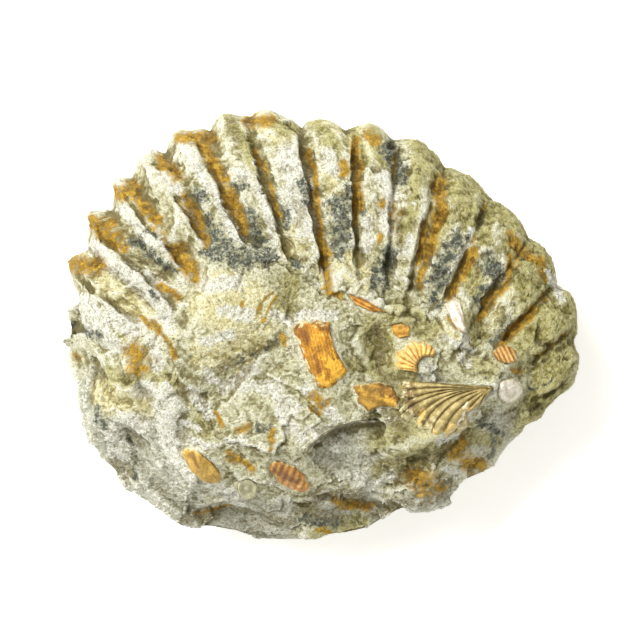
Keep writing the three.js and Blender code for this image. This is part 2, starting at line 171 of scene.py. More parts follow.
def closed_surface(rings):
    """Points and triangles of a closed body from rings, with one more point in the middle of each end."""
    rings = [rings[0].mean(axis=0)[None], *rings, rings[-1].mean(axis=0)[None]]
    faces = []
    first = 0
    for near, far in zip(rings, rings[1:]):
        bridge(faces, (first, len(near)), (first + len(near), len(far)))
        first += len(near)
    points = np.vstack(rings)
    faces = np.array(faces)
    a, b, c = (points[faces[:, k]] for k in range(3))
    volume = np.einsum("ij,ij->i", a, np.cross(b, c)).sum() / 6
    if volume < 0:
        faces = faces[:, ::-1]
    return points, faces


def normals_of(points, faces):
    a, b, c = (points[faces[:, k]] for k in range(3))
    across = np.cross(b - a, c - a)
    total = np.zeros_like(points)
    for corner in range(3):
        for axis in range(3):
            total[:, axis] += np.bincount(faces[:, corner], across[:, axis], len(points))
    return total / np.maximum(np.linalg.norm(total, axis=1, keepdims=True), 1e-9)


def swelling(points, faces, rounds):
    """How far each point stands out over those round it, in mm. More rounds reach further."""
    start = faces.ravel()
    end = np.roll(faces, -1, axis=1).ravel()
    count = np.bincount(start, minlength=len(points))
    smooth = points.T
    for _ in range(rounds):
        smooth = np.stack([np.bincount(start, axis[end], len(points)) / count for axis in smooth])
    return ((points - smooth.T) * normals_of(points, faces)).sum(axis=1)


def relief_marks(points, faces):
    """Two numbers from -1, sunken, to 1, raised: one for sharp edges and one for whole lumps."""
    return {
        "edge": np.clip(swelling(points, faces, EDGE_ROUNDS) / EDGE_HEIGHT, -1, 1),
        "swell": np.clip(swelling(points, faces, SWELL_ROUNDS) / SWELL_HEIGHT, -1, 1),
    }


def add_piece(name, points, faces, node, values):
    """Makes the mesh, inside the frame's box, with one number per point under each of the given names."""
    points = np.clip(points * MM, np.array(CAD_LOW), np.array(CAD_HIGH))
    mesh = bpy.data.meshes.new(name)
    mesh.from_pydata(points.tolist(), [], faces.tolist())
    mesh.polygons.foreach_set("use_smooth", [True] * len(mesh.polygons))
    for label, numbers in values.items():
        layer = mesh.attributes.new(label, "FLOAT", "POINT")
        layer.data.foreach_set("value", numbers.astype(np.float32))
    piece = bpy.data.objects.new(name, mesh)
    bpy.context.scene.collection.objects.link(piece)
    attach(piece, "root")
    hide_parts(node)
    print(name, "has", len(faces), "triangles")
    return piece


# %% [markdown]
# The whorl is half a turn of the ammonite's coil, cast in stone. Coarse ribs cross it, and all of them point
# at one place. Each rib rises slowly from the groove on one side and drops steeply into the next groove, so
# the ribs lie like roof tiles. The measures are those of the solid: the angle and reach of each crest and of
# the groove after it, seen from the place that the ribs point at.

# %% The whorl's measures, in millimetres and degrees
RIB_CENTRE = (11.8, -46.9)
RIBS = [  # crest angle, crest reach, groove angle, groove reach
    (142.8, 108.0, 139.3, 105.0),
    (135.6, 112.0, 132.5, 108.3),
    (129.1, 114.5, 126.8, 110.9),
    (124.0, 116.2, 120.6, 112.6),
    (117.5, 116.4, 113.3, 111.8),
    (110.8, 115.5, 107.0, 112.0),
    (104.8, 113.2, 99.5, 105.2),
    (96.3, 107.3, 92.6, 103.6),
    (89.0, 105.0, 84.6, 100.6),
    (81.6, 102.0, 75.5, 95.3),
    (72.3, 95.5, 66.0, 91.0),
    (62.3, 91.1, 56.2, 86.8),
    (53.0, 86.9, 46.0, 81.5),
    (42.2, 82.3, 34.8, 74.8),
    (31.0, 73.7, 25.2, 66.0),
]
OPEN_END = (152.0, 90.0)
SMALL_END = (20.6, 57.0)
MEDIAN_HEIGHT = 29.5
RIB_RELIEF = [(152, 3.2), (100, 3.1), (70, 2.5), (20.6, 2.3)]  # by angle, how high a rib stands
FLANK_GROOVES = np.array([  # on the flank: a steep side's foot, the groove floor's end, where its rust lies
    (160, 158, 0, 0), (143.8, 139.6, 0, 0), (136.2, 132.6, 98, 112), (129.2, 126.6, 79, 115),
    (122.6, 120.7, 84, 99), (115.4, 113.6, 82, 114), (107.7, 106.8, 80, 103), (100.1, 99, 56, 84),
    (91.5, 90.7, 76, 106), (83.8, 81.8, 69, 84), (76.6, 74, 60, 93), (66, 64.2, 58, 82),
    (56.2, 54.6, 58, 87), (46.4, 45, 62, 82), (36.2, 34.8, 0, 0), (26, 24, 0, 0), (15, 14, 0, 0),
])
LAP_LINE = [  # by angle, the reach within which the limestone lies over the whorl
    (152, 78), (144, 76), (138, 72), (130, 76), (123, 80), (117, 80), (110, 71), (102, 61), (95, 65),
    (87, 59), (79, 58), (69, 57), (64, 62), (60, 63), (56, 59), (51, 56), (40, 62), (30, 56), (19, 52),
]
GROOVE_FADE = [(152, 14), (122, 12), (115, 2), (20, 2)]  # by angle, how far past that line a groove is deep
GROOVE_FULL = 2  # how far inside that line the groove is full
HALF_BREADTH = [(152, 25), (95, 25), (60, 22), (40, 17.5), (30, 14.5), (20.6, 13)]  # by angle
INNER_REACH = [(152, 62), (140, 56), (120, 50), (60, 46), (20.6, 46)]  # by angle
SQUARENESS = 2.6
END_LENGTH = 3  # degrees over which each end draws in, to this share of the whorl's section
END_SCALE = 0.74
FALL_POWER = [(152, 1.2), (110, 1.2), (95, 1.7), (20, 1.7)]  # by angle, how a crest falls and rises
RISE_POWER = [(152, 0.75), (125, 0.75), (115, 1.2), (100, 2.4), (20, 2.4)]
FLOOR_SHARE = 0.25  # of a rib's height: how far a groove's floor rises, and the step at its end
STEP_SHARE = 0.4
STEP_LENGTH = 1.4  # degrees
WALL_LENGTH = [(152, 0.7), (95, 0.7), (75, 1.4), (20, 1.6)]  # by angle, in degrees
TURNS = np.array(  # angle, reach and height on a rib, at each crest and groove
    [(*OPEN_END, 0)]
    + [turn for crest, reach, groove, dip in RIBS for turn in ((crest, reach, 1), (groove, dip, 0))]
    + [(*SMALL_END, 0)]
)
print("ribs:", len(RIBS), "over", OPEN_END[0] - SMALL_END[0], "degrees")

# %% [markdown]
# A rib is not a plain wave. On the whorl's outer side it rises from one groove and falls to the next at two
# different rates. On the flank its far side drops like a wall, so two functions give the two shapes.

# %% The shape of a rib


def rib_at(angle):
    """The whorl's reach at an angle, and how high on a rib that is: 0 in a groove, 1 on a crest."""
    after = np.clip(np.searchsorted(-TURNS[:, 0], -angle), 1, len(TURNS) - 1)
    a = TURNS[after - 1].T
    b = TURNS[after].T
    way = np.clip((a[0] - angle) / (a[0] - b[0]), 0, 1)
    fall = way ** falling(FALL_POWER, angle)
    rise = 1 - (1 - way) ** falling(RISE_POWER, angle)
    share = np.where(a[2] > b[2], fall, rise)
    return a[1] + (b[1] - a[1]) * share, a[2] + (b[2] - a[2]) * share


def flank_rise(angle):
    """How high on a rib a place on the whorl's flank is, and the row of the groove that it has passed.

    From the groove a rib rises in a step and then slowly, and its far side drops steeply into the next one.
    """
    passed = np.searchsorted(-FLANK_GROOVES[:, 0], -angle, side="right") - 1
    groove = FLANK_GROOVES[passed].T
    start = groove[0]
    span = start - FLANK_GROOVES[passed + 1, 0]
    past = start - angle
    floor = start - groove[1]
    wall = falling(WALL_LENGTH, angle)
    slope = FLOOR_SHARE * np.clip(past / floor, 0, 1)
    step = STEP_SHARE * smooth_step(floor, floor + STEP_LENGTH, past)
    top = (1 - FLOOR_SHARE - STEP_SHARE) * np.clip((past - floor) / (span - floor - wall), 0, 1)
    return (slope + step + top) * smooth_step(0, wall, span - past), groove


def near_stone(rise, angle, out):
    """The same height on a rib, once the clay that fills each groove beside the limestone is added."""
    lap = falling(LAP_LINE, angle)
    return rise + (1 - rise) * smooth_step(lap + falling(GROOVE_FADE, angle), lap - GROOVE_FULL, out)


def end_scale(angle):
    from_end = np.minimum(OPEN_END[0] - angle, angle - SMALL_END[0])
    share = np.clip(from_end / END_LENGTH, 0, 1)
    return END_SCALE + (1 - END_SCALE) * np.sqrt(share)


def squared(value):
    return np.sign(value) * np.abs(value) ** (2 / SQUARENESS)


crest_reach, crest_rise = rib_at(RIBS[0][0])
print("the first crest reaches", round(float(crest_reach), 1), "mm at height", round(float(crest_rise), 2))

# %% [markdown]
# The rings cross the whorl every half millimetre, so that a rib's edge is several rings wide. A little noise
# bends the ribs, because a real crest is never a straight line, and a narrow slot is cut along each groove.
# Iron has washed into most grooves, so the place of its rust is worked out here, from the groove's measures.

# %% The whorl's surface
ROUGH_SPAN = (1.6, 30, 20)  # millimetres of noise to a degree along the whorl, and across its section
WANDER = [(layered, 0.4, 18, 3), (layered, 0.28, 7, 12)]  # how a rib strays, in degrees
FLANK = (0.25, 0.7)  # how far round the section the flank starts and is whole, as a sine
SLOT_FLANK = (0.35, 0.8)
SLOT_DEPTH = 0.55
SLOT_WIDTH = 0.55
CLAY = [(layered, 1, 24, 14)]
CLAY_EDGE = (0, 0.6)  # where in that noise a filled groove starts and is full
FILLED = 0.8  # how far clay fills a groove, where it does
HIDDEN = 0.5  # how much of the rust it hides there
RUST_FADE = 3
RUST_SPILL = [(layered, 0.25, 6, 16)]  # how unevenly rust rises on a rib, as a share of the rib's height
RUST_RISE = (0.34, 0.08)  # heights on a rib where rust starts and is full
RUST_PATCHES = [(layered, 1, 10, 15)]
RUST_EDGE = (-0.6, 0.4)  # where in that noise a patch of rust starts and is full
RUST_LEAST = 0.15


def groove_slot(angle, bent, turn, out):
    """The depth of the narrow slot along each groove's foot."""
    to_groove = np.abs(bent[:, None] - FLANK_GROOVES[1:-1, 0]).min(axis=1) * np.radians(1) * out
    slot = SLOT_DEPTH * np.exp(-((to_groove / SLOT_WIDTH) ** 2))
    return slot * smooth_step(*SLOT_FLANK, np.abs(np.sin(turn))) * (1 - near_stone(0, angle, out))


def groove_rust(place, groove, out, on_rib):
    """How rusty a place is: low on its rib, between the two ends of its groove's rust, and in patches."""
    _, _, start, end = groove
    spill = rough(place, RUST_SPILL)
    low = smooth_step(RUST_RISE[0] + spill, RUST_RISE[1] + spill, on_rib)
    past_start = smooth_step(start - RUST_FADE, start + RUST_FADE, out)
    before_end = smooth_step(end + RUST_FADE, end - RUST_FADE, out)
    patches = smooth_step(*RUST_EDGE, rough(place, RUST_PATCHES))
    return low * past_start * before_end * (RUST_LEAST + (1 - RUST_LEAST) * patches)


def whorl_points(angle, turn):
    """Points, how rusty each is, and how deep its slot is, from the angle along and the turn round."""
    place = np.stack([angle, np.cos(turn), np.sin(turn)], axis=1) * ROUGH_SPAN
    bent = angle + rough(place, WANDER)
    reach, outer_rise = rib_at(bent)
    on_rib, groove = flank_rise(bent)
    on_flank = smooth_step(*FLANK, np.abs(np.sin(turn)))
    rise = outer_rise + (on_rib - outer_rise) * on_flank
    clay = FILLED * smooth_step(*CLAY_EDGE, rough(place * [1, 2, 1], CLAY)) * on_flank
    inner = falling(INNER_REACH, angle)
    scale = end_scale(angle)
    out = (reach + inner) / 2 + (reach - inner) / 2 * scale * squared(np.cos(turn))
    rise = rise + (near_stone(rise, angle, out) - rise) * (np.sin(turn) > 0)
    hollow = falling(RIB_RELIEF, angle) * (1 - rise) * (1 - clay)
    half_breadth = (falling(HALF_BREADTH, angle) - hollow) * scale
    x = RIB_CENTRE[0] + out * np.cos(np.radians(angle))
    y = RIB_CENTRE[1] + out * np.sin(np.radians(angle))
    points = np.stack([x, y, MEDIAN_HEIGHT + half_breadth * squared(np.sin(turn))], axis=1)
    rusty = groove_rust(place, groove, out, on_rib) * on_flank * (1 - HIDDEN * clay)
    return points, rusty, groove_slot(angle, bent, turn, out) * (1 - clay)


points, rusty, _ = whorl_points(np.array([RIBS[0][0]]), np.array([0.0]))
print("a point on the first crest, in mm:", points[0].round(1), "rust:", rusty.round(2))

# %% [markdown]
# Every point of the whorl then moves along its normal by the sum of the stone's lumps, scoops and grit, less
# its slot. Other animals bored a few small pits into the ribs before the shell was buried. The two broken
# ends are closed by smaller and smaller copies of the last ring.

# %% The whorl
SEEN_SIDE = (-0.2, 1.0, 145)  # from and to, in half turns round the section, and the points between
FAR_SIDE = (1.0, 1.8, 55)
STATIONS = 460
CAP_RINGS = 10
WHORL_NOISE = [  # kind, height, size and seed
    (layered, 0.72, 9, 1), (scoops, 1.2, 7, 1),
    (layered, 0.3, 3, 2), (scoops, 0.65, 2.8, 2),
    (layered, 0.2, 1.1, 4),
]
SLOT_WAVER = 0.5  # how unevenly deep the slots are, and over what length
SLOT_WAVER_SIZE = 6
LET_IN = 0.2  # how far the surface goes in, so that its noise stays inside the frame's box
BORINGS = [  # x, y and radius
    (-28.1, 33.8, 1.2), (-27.7, 31, 0.7), (-17, 38.2, 0.9),
    (-18.4, 46, 0.7), (20, 51.6, 1.3), (20.2, 29.1, 1),
]
BORING_DEPTH = 1.3  # in radii, as are the rim's height, its distance and its width
BORING_RIM = (0.5, 1.5, 0.35)


def borings(points):
    """Small round pits with a raised rim."""
    rim_height, rim_distance, rim_width = BORING_RIM
    depth = np.zeros(len(points))
    for x, y, radius in BORINGS:
        away = np.hypot(points[:, 0] - x, points[:, 1] - y) / radius
        rim = rim_height * np.exp(-(((away - rim_distance) / rim_width) ** 2))
        depth = depth + radius * (BORING_DEPTH * np.exp(-(away ** 2)) - rim)
    return depth * (points[:, 2] > MEDIAN_HEIGHT)


def closing_rings(ring):
    middle = ring.mean(axis=0)
    return [middle + (ring - middle) * k / CAP_RINGS for k in range(1, CAP_RINGS)]


def make_whorl():
    turns = np.pi * np.concatenate([np.linspace(*side, endpoint=False) for side in (SEEN_SIDE, FAR_SIDE)])
    angles = np.linspace(OPEN_END[0], SMALL_END[0], STATIONS)
    angle, turn = (grid.ravel() for grid in np.meshgrid(angles, turns, indexing="ij"))
    points, rusty, slot = whorl_points(angle, turn)
    rings = list(points.reshape(STATIONS, len(turns), 3))
    points, faces = closed_surface(closing_rings(rings[0]) + rings + closing_rings(rings[-1])[::-1])
    cap_size = 1 + (CAP_RINGS - 1) * len(turns)
    slot = np.pad(slot, cap_size) * (1 + SLOT_WAVER * layered(points, SLOT_WAVER_SIZE, 1, seed=11))
    move = rough(points, WHORL_NOISE) - LET_IN - slot - borings(points)
    points = points + normals_of(points, faces) * move[:, None]
    return points, faces, {"rusty": np.pad(rusty, cap_size), **relief_marks(points, faces)}


print("the deepest boring, in mm:", round(float(borings(np.array([[*BORINGS[4][:2], 50.0]]))[0]), 2))

# %% [markdown]
# The limestone is a broken lump: a flat crown, and five faces that fall away to the rim. Lumps, hollows and
# ledges are added to that height, and the stone stops where it laps on the ribs' inner ends. All of it is
# one height for each place, which is easy to work out for a hundred thousand points at once.

# %% The limestone's measures, in millimetres and degrees
LAP_SLOPE = 0.8
BEYOND_RISE = 12  # millimetres to a degree past the whorl's ends, where the stone stands free
OVERLAP_REACH = (100, 90)  # the reach where it starts to lap over the open end too, and laps fully
ROCK_CENTRE = (0, -8)
ROCK_RIM = [
    (58.5, -29), (55.5, -33.2), (51.7, -38.5), (47.3, -43.4), (41.5, -46.6), (36.6, -50.7), (31, -53.9),
    (24, -53.6), (18.8, -56.2), (13.3, -59.7), (7.1, -61.2), (-5.4, -61.8), (-18.8, -62.9), (-25.2, -60.6),
    (-32.2, -59.4), (-40.9, -59.4), (-46.5, -54.5), (-58.7, -45.2), (-63.9, -39.3), (-68.6, -32.6),
    (-70.1, -24.8), (-70.6, -16.9), (-73.8, -9.6), (-73.8, -1.7), (-74.2, 4.5), (-66, 8), (-58.8, 16.7),
    (-45, 34.2), (-22.4, 47.1), (3.6, 46.7), (26.9, 38.8), (45.2, 24.7), (56.8, 6.7), (60.8, -5.8), (62, -18),
]
ROCK_CROWN = 55.5
ROCK_LEAST = 22
ROCK_MOST = 60
ROCK_FACES = [  # the way it faces, where it starts, how high it starts and how steeply it falls
    (-90, 36, 55, 1.05),
    (-140, 50, 54, 1.15),
    (180, 56, 52, 1.3),
    (-45, 50, 52, 1.4),
    (-15, 60, 50, 2.2),
]
LUMPS = [  # x, y, half-length, half-width, turn and rise
    (-26.1, 3.5, 15, 12, 0, 4.2),
    (0, -8, 11, 9, -60, 3),
    (22.5, 14, 11, 4, 50, 3.4),
    (-63, -28, 8, 8, 0, 4),
    (-44.2, -26.5, 9, 3.5, 90, 2),
    (28.7, -47, 8, 6, 20, 3),
    (15.9, -6.5, 7, 4.5, 90, -3),
    (8.3, -38.2, 11, 7, 10, -4.5),
    (-35.4, -28, 10, 8, 70, -1.5),
    (-55, -34, 4, 3, 0, -1.5),
    (-56.4, -42, 5, 3.5, 60, -2),
    (-26.7, -57, 13, 5, 0, -3),
    (8.3, -55.6, 12, 5, 5, -3),
    (33, -37.5, 12, 3, 38, -3),
    (41.8, -10.8, 2.6, 2.3, 0, 1.6),
    (31.2, -13.2, 3.6, 2.8, 0, 1.4),
    (-68, 2, 11, 8, 30, 8),
    (-58, -11, 15, 5, -28, 3),
]
LEDGES = [  # a line, how deep and how far the stone drops on its right-hand side, and the width of the drop
    ([(-40, -20), (-35, -16), (-23.7, -10.5), (-15, -6.1), (-9.2, -0.3)], 2.6, 13, 7),
    ([(-4.8, -36.7), (-0.4, -32.9), (3.9, -30), (9.8, -28.5), (18, -28.3)], 4.5, 9, 0.9),
    ([(-37.5, -54), (-31, -51.9), (-23.7, -52.7), (-16, -54.5)], 4, 7, 1.5),
    ([(-7, -51.5), (2.5, -48.4), (11.2, -50.4), (23.5, -52.1)], 4, 7, 1.5),
    ([(-64, -19), (-53, -19), (-42, -19)], 2.5, 8, 4),
]
print("lumps and hollows:", len(LUMPS), "ledges:", len(LEDGES))

# %% [markdown]
# Each lump is a bell with an oval foot, and each ledge is a line that the stone drops from on one side. The
# limestone laps on the ribs' inner ends: inside the lap line it may rise slowly over the whorl's flank, and
# outside that line it dips under the flank.

# %% The height of the stone
BELL_POWER = 1.5  # more than 1 makes a lump's top flatter and its sides steeper
BELL_SPREAD = 1.2


def nearest_on_line(x, y, line):
    """Distance to a line of points, the share of the way along it, and whether it is on the right."""
    best = np.full(len(x), np.inf)
    place = np.zeros(len(x))
    right = np.zeros(len(x), bool)
    for i, ((ax, ay), (bx, by)) in enumerate(zip(line, line[1:])):
        sx = bx - ax
        sy = by - ay
        share = np.clip(((x - ax) * sx + (y - ay) * sy) / (sx * sx + sy * sy), 0, 1)
        distance = np.hypot(x - ax - share * sx, y - ay - share * sy)
        nearer = distance < best
        best = np.where(nearer, distance, best)
        place = np.where(nearer, (i + share) / (len(line) - 1), place)
        right = np.where(nearer, sx * (y - ay) - sy * (x - ax) < 0, right)
    return best, place, right


def ledge_drop(x, y, line, drop, reach, lip):
    distance, place, right = nearest_on_line(x, y, line)
    side = smooth_step(0, lip, distance) * right
    return drop * np.sqrt(np.sin(np.pi * place).clip(0)) * np.exp(-((distance / reach) ** 2)) * side


def bell(x, y, lump):
    middle_x, middle_y, long, wide, turn, _ = lump
    c = math.cos(math.radians(turn))
    s = math.sin(math.radians(turn))
    u = ((x - middle_x) * c + (y - middle_y) * s) / long
    v = ((y - middle_y) * c - (x - middle_x) * s) / wide
    return np.exp(-((u * u + v * v) ** BELL_POWER) / BELL_SPREAD)


def lap_height(x, y):
    """The highest that the stone may stand, so that it dips into the whorl beyond the lap line."""
    dx = x - RIB_CENTRE[0]
    dy = y - RIB_CENTRE[1]
    angle = np.degrees(np.arctan2(dy, dx))
    distance = np.hypot(dx, dy)
    lap = falling(LAP_LINE, angle)
    inner = falling(INNER_REACH, angle)
    reach, _ = rib_at(angle)
    flank_reach = np.maximum(distance, lap)
    rise, _ = flank_rise(np.clip(angle, FLANK_GROOVES[-1, 0] + 1, FLANK_GROOVES[0, 0] - 1))
    rise = near_stone(rise, angle, flank_reach)
    off = np.clip(np.abs(flank_reach - (reach + inner) / 2) / ((reach - inner) / 2), 0, 1)
    breadth = (falling(HALF_BREADTH, angle) - falling(RIB_RELIEF, angle) * (1 - rise)) * end_scale(angle)
    flank = MEDIAN_HEIGHT + breadth * (1 - off ** SQUARENESS) ** (1 / SQUARENESS)
    overlap = END_LENGTH * smooth_step(*OVERLAP_REACH, distance)
    beyond = np.maximum(angle - OPEN_END[0] + overlap, SMALL_END[0] - angle).clip(0)
    return flank + LAP_SLOPE * (lap - distance) + BEYOND_RISE * beyond


def rock_top(x, y):
    height = np.full(len(x), float(ROCK_CROWN))
    for facing, start, top, fall in ROCK_FACES:
        out = x * math.cos(math.radians(facing)) + y * math.sin(math.radians(facing))
        height = np.minimum(height, top - fall * (out - start))
    for lump in LUMPS:
        height = height + lump[5] * bell(x, y, lump)
    for line, drop, reach, lip in LEDGES:
        height = height - ledge_drop(x, y, line, drop, reach, lip)
    return np.clip(np.minimum(height, lap_height(x, y)), ROCK_LEAST, ROCK_MOST)


print("height of the stone at its middle, in mm:", rock_top(np.zeros(1), np.zeros(1)).round(1))

# %% [markdown]
# The top is a disc of rings, each with six points more than the one inside it, which keeps the triangles the
# same size from the middle to the rim. Under the rim the sides go down and draw in to a flat underside.

# %% The limestone's rings
TOP_RINGS = 150
RING_STEP = 6
SIDE_PROFILE = [(1, 1), (0.975, 0.68), (0.9, 0.34), (0.78, 0.1), (0.64, 0)]  # share out and share up
SIDE_RINGS = 26
UNDERSIDE_RINGS = 4


def rim_reach(direction):
    dx = np.array([x - ROCK_CENTRE[0] for x, _ in ROCK_RIM])
    dy = np.array([y - ROCK_CENTRE[1] for _, y in ROCK_RIM])
    return np.interp(direction, *sorted_turn(np.degrees(np.arctan2(dy, dx)), np.hypot(dx, dy)))


def sorted_turn(angles, reaches):
    """Angles in rising order over three full turns, so that a look-up may start anywhere."""
    angles = angles % 360
    order = np.argsort(angles)
    angles = angles[order]
    return np.concatenate([angles - 360, angles, angles + 360]), np.tile(reaches[order], 3)


def rock_rings():
    rings = []
    for k in range(1, TOP_RINGS + 1):
        direction = np.arange(RING_STEP * k) * 360 / (RING_STEP * k)
        reach = rim_reach(direction) * k / TOP_RINGS
        x = ROCK_CENTRE[0] + reach * np.cos(np.radians(direction))
        y = ROCK_CENTRE[1] + reach * np.sin(np.radians(direction))
        rings.append(np.stack([x, y, rock_top(x, y)], axis=1))
    rim = rings[-1]
    centre = np.array([*ROCK_CENTRE, 0])
    profile = np.array(SIDE_PROFILE)
    for share in np.linspace(0, 1, SIDE_RINGS + 1)[1:]:
        at = share * (len(profile) - 1)
        out = np.interp(at, range(len(profile)), profile[:, 0])
        up = np.interp(at, range(len(profile)), profile[:, 1])
        rings.append(np.stack([*(centre[:2] + (rim[:, :2] - centre[:2]) * out).T, up * rim[:, 2]], axis=1))
    last = rings[-1]
    for k in range(1, UNDERSIDE_RINGS):
        rings.append((centre + (last - centre) * (1 - k / UNDERSIDE_RINGS))[:: 2 ** k])
    return rings


print("rings of the limestone:", TOP_RINGS + SIDE_RINGS + UNDERSIDE_RINGS - 1)

# %% [markdown]
# Thirteen broken shells lie in the stone. A shell breaks into pieces with corners, so each has an outline
# of a few straight sides, or an oval, or a scallop's fan. Its skin follows the height of the stone, a little
# proud of it, and the ribs are added as a wave: across a fan, along a strip, or across an oval.

# %% Outlines of the shells, in millimetres and degrees
SHELL_PROUD = 0.8
SCALLOP_PROUD = 0.5
SHELL_DEPTH = 2.2
BURIED_DEPTH = 3  # how much lower a shell lies where stone covers it
SHELL_SIDES = 240
OVAL_STEP = 10
FAN_POINTS = 25
BEHIND_BEAK = 1.5  # how far the outline goes behind the beak


def oval(middle, long, wide, turn):
    angle = np.radians(np.arange(0, 360, OVAL_STEP))
    c = math.cos(math.radians(turn))
    s = math.sin(math.radians(turn))
    u = long * np.cos(angle)
    v = wide * np.sin(angle)
    return np.stack([middle[0] + u * c - v * s, middle[1] + u * s + v * c], axis=1)


def fan(beak, reaches):
    """A scallop's outline, from its reach at falling angles round its beak, and on behind the beak."""
    first = reaches[0][0]
    last = reaches[-1][0]
    angles = np.linspace(last, first, FAN_POINTS)
    reach = falling(reaches, angles)
    behind = math.radians((first + last) / 2 + 180)
    angles = np.radians(angles)
    rim = np.stack([beak[0] + reach * np.cos(angles), beak[1] + reach * np.sin(angles)], axis=1)
    back = [beak[0] + BEHIND_BEAK * math.cos(behind), beak[1] + BEHIND_BEAK * math.sin(behind)]
    return np.vstack([rim, back])


def evenly(outline, count):
    """Points at equal steps along a closed outline."""
    closed = np.vstack([outline, outline[:1]])
    along = np.concatenate([[0], np.cumsum(np.hypot(*np.diff(closed, axis=0).T))])
    at = np.linspace(0, along[-1], count, endpoint=False)
    return np.stack([np.interp(at, along, closed[:, 0]), np.interp(at, along, closed[:, 1])], axis=1)


def shell(middle, outline, crown, depth=SHELL_DEPTH, proud=SHELL_PROUD, buried=None, **ribs):
    """A shell's measures. `buried` is the middle and radius of a place where stone covers it."""
    rim = evenly(np.array(outline, float), SHELL_SIDES)
    dx, dy = (rim - middle).T
    turned = sorted_turn(np.degrees(np.arctan2(dy, dx)), np.hypot(dx, dy))
    measures = {"crown": crown, "depth": depth, "proud": proud, "buried": buried}
    return {"middle": middle, "rim": rim, "turned": turned, **measures, **ribs}


print("points on an oval's outline:", len(oval((0, 0), 2, 1, 0)))

# %% [markdown]
# The scallops are fans with ribs that start at the beak. The other shells are broken pieces, so their ribs
# run in straight lines across them, and the round ones have growth rings.

# %% The shells' measures, in millimetres and degrees
LARGE_BEAK = (47.8, -18.6)
LARGE_REACHES = [(242, 13), (234, 17), (221, 20.5), (208, 24.1), (192, 25.9), (174, 23.5)]
SMALL_BEAK = (29.3, -13.1)
SMALL_REACHES = [(178, 8.2), (150, 9.1), (120, 8.9), (88, 8), (55, 6.2)]
SHELLS = {
    "large_scallop": shell(
        LARGE_BEAK, fan(LARGE_BEAK, LARGE_REACHES), crown=1.4, proud=SCALLOP_PROUD, buried=(43.8, -26.6, 2.4),
        kind="fan", between=(174, 242), count=9, height=0.55, bend=33,
    ),
    "small_scallop": shell(
        SMALL_BEAK, fan(SMALL_BEAK, SMALL_REACHES), crown=1, depth=1.8, proud=SCALLOP_PROUD,
        buried=(30.6, -12.4, 3.4),
        kind="fan", between=(55, 178), count=9, height=0.4, bend=0,
    ),
    "ribbed_shell": shell(
        (0, -8.5),
        [(2.5, 0.9), (-2, 1.6), (-5.4, 1.2), (-8.6, -0.9), (-6.3, -7.6), (-3.4, -14), (-1, -18.1),
         (2.5, -18.6), (6.8, -16.3), (8, -13.4), (5.4, -9.9), (3.3, -4.7)],
        crown=1.4, kind="lines", turn=-76, spacing=0.9, height=0.05,
    ),
    "worn_shell": shell(
        (15.5, -20.8),
        [(20.5, -17.8), (16.5, -16.6), (8.9, -17.8), (10.6, -22.7), (13.5, -25.1), (17, -23.6), (22.3, -24.5),
         (22.9, -21.3)],
        crown=0.8, kind="lines", turn=-20, spacing=3, height=0.2,
    ),
    "shell_strip": shell(
        (12.6, 5.8), [(11.2, 7.6), (7.7, 8.4), (9.8, 5.5), (14.7, 3.5), (19.1, 3.2), (15.6, 5.2)],
        crown=0.5, depth=1.5, kind="lines", turn=-28, spacing=1.1, height=0.2,
    ),
    "shell_chip": shell(
        (22.7, -1.8), [(22.9, 0.3), (20, -0.3), (20.2, -2.6), (22.3, -4.1), (25.2, -3.5), (25.5, -0.6)],
        crown=0.5, depth=1.5, kind="lines", turn=0, spacing=2.4, height=0.15,
    ),
    "round_shell": shell(
        (54.2, -19.2), oval((54.2, -19.2), 3.8, 3.6, 0),
        crown=1.8, depth=1.4, kind="rings", spacing=2.6, height=0.3,
    ),
    "scallop_fragment": shell(
        (52.9, -8.8),
        [(56.1, -7.6), (53.5, -6.1), (51.1, -6.4), (49.1, -8.2), (50.5, -10.5), (53.5, -11.7), (56.4, -10.5)],
        crown=0.7, depth=1.5, kind="lines", turn=-65, spacing=1.2, height=0.2,
    ),
    "broken_shell": shell(
        (39, 2.4),
        [(39.8, 6.1), (38, 7.6), (35.4, 5.5), (37.4, 0.6), (39.8, -2.6), (42.1, -3.2), (40.9, 1.7)],
        crown=1, kind="lines", turn=-65, spacing=2.2, height=0.3,
    ),
    "left_oval_shell": shell(
        (-34.5, -41.1), oval((-34.5, -41.1), 7.2, 3.1, -42),
        crown=0.5, kind="rings", spacing=3.4, height=0.05,
    ),
    "right_oval_shell": shell(
        (-9.2, -44), oval((-9.2, -44), 6.9, 3.2, -36),
        crown=0.9, kind="lines", turn=66, spacing=1.9, height=0.2,
    ),
    "ring_shell": shell(
        (-21.4, -47.5), oval((-21.4, -47.5), 2.9, 2.9, 0),
        crown=0, kind="rings", spacing=2.6, height=0.4,
    ),
}
print("shells:", len(SHELLS))

# %% [markdown]
# The stone and its shells have to agree on where a shell lies, how far out on it a place is, and where stone
# has crept over it. These helpers answer that for both.

# %% Where a shell lies
BURIED_EDGE = (1.15, 0.85)  # in radii of the buried place
RIB_CROWN = 0.6  # below 1, a fan's ribs are broader than its grooves
RIB_START = (0.03, 0.3)  # the shares of the way out from the beak where its ribs start and are whole


def share_out(x, y, piece):
    """0 at a shell's middle and 1 on its outline."""
    dx = x - piece["middle"][0]
    dy = y - piece["middle"][1]
    return np.hypot(dx, dy) / np.interp(np.degrees(np.arctan2(dy, dx)) % 360, *piece["turned"])


def buried_share(x, y, piece):
    """1 where stone covers a part of a shell, and 0 elsewhere."""
    if piece["buried"] is None:
        return np.zeros(len(x))
    middle_x, middle_y, radius = piece["buried"]
    return smooth_step(*BURIED_EDGE, np.hypot(x - middle_x, y - middle_y) / radius)


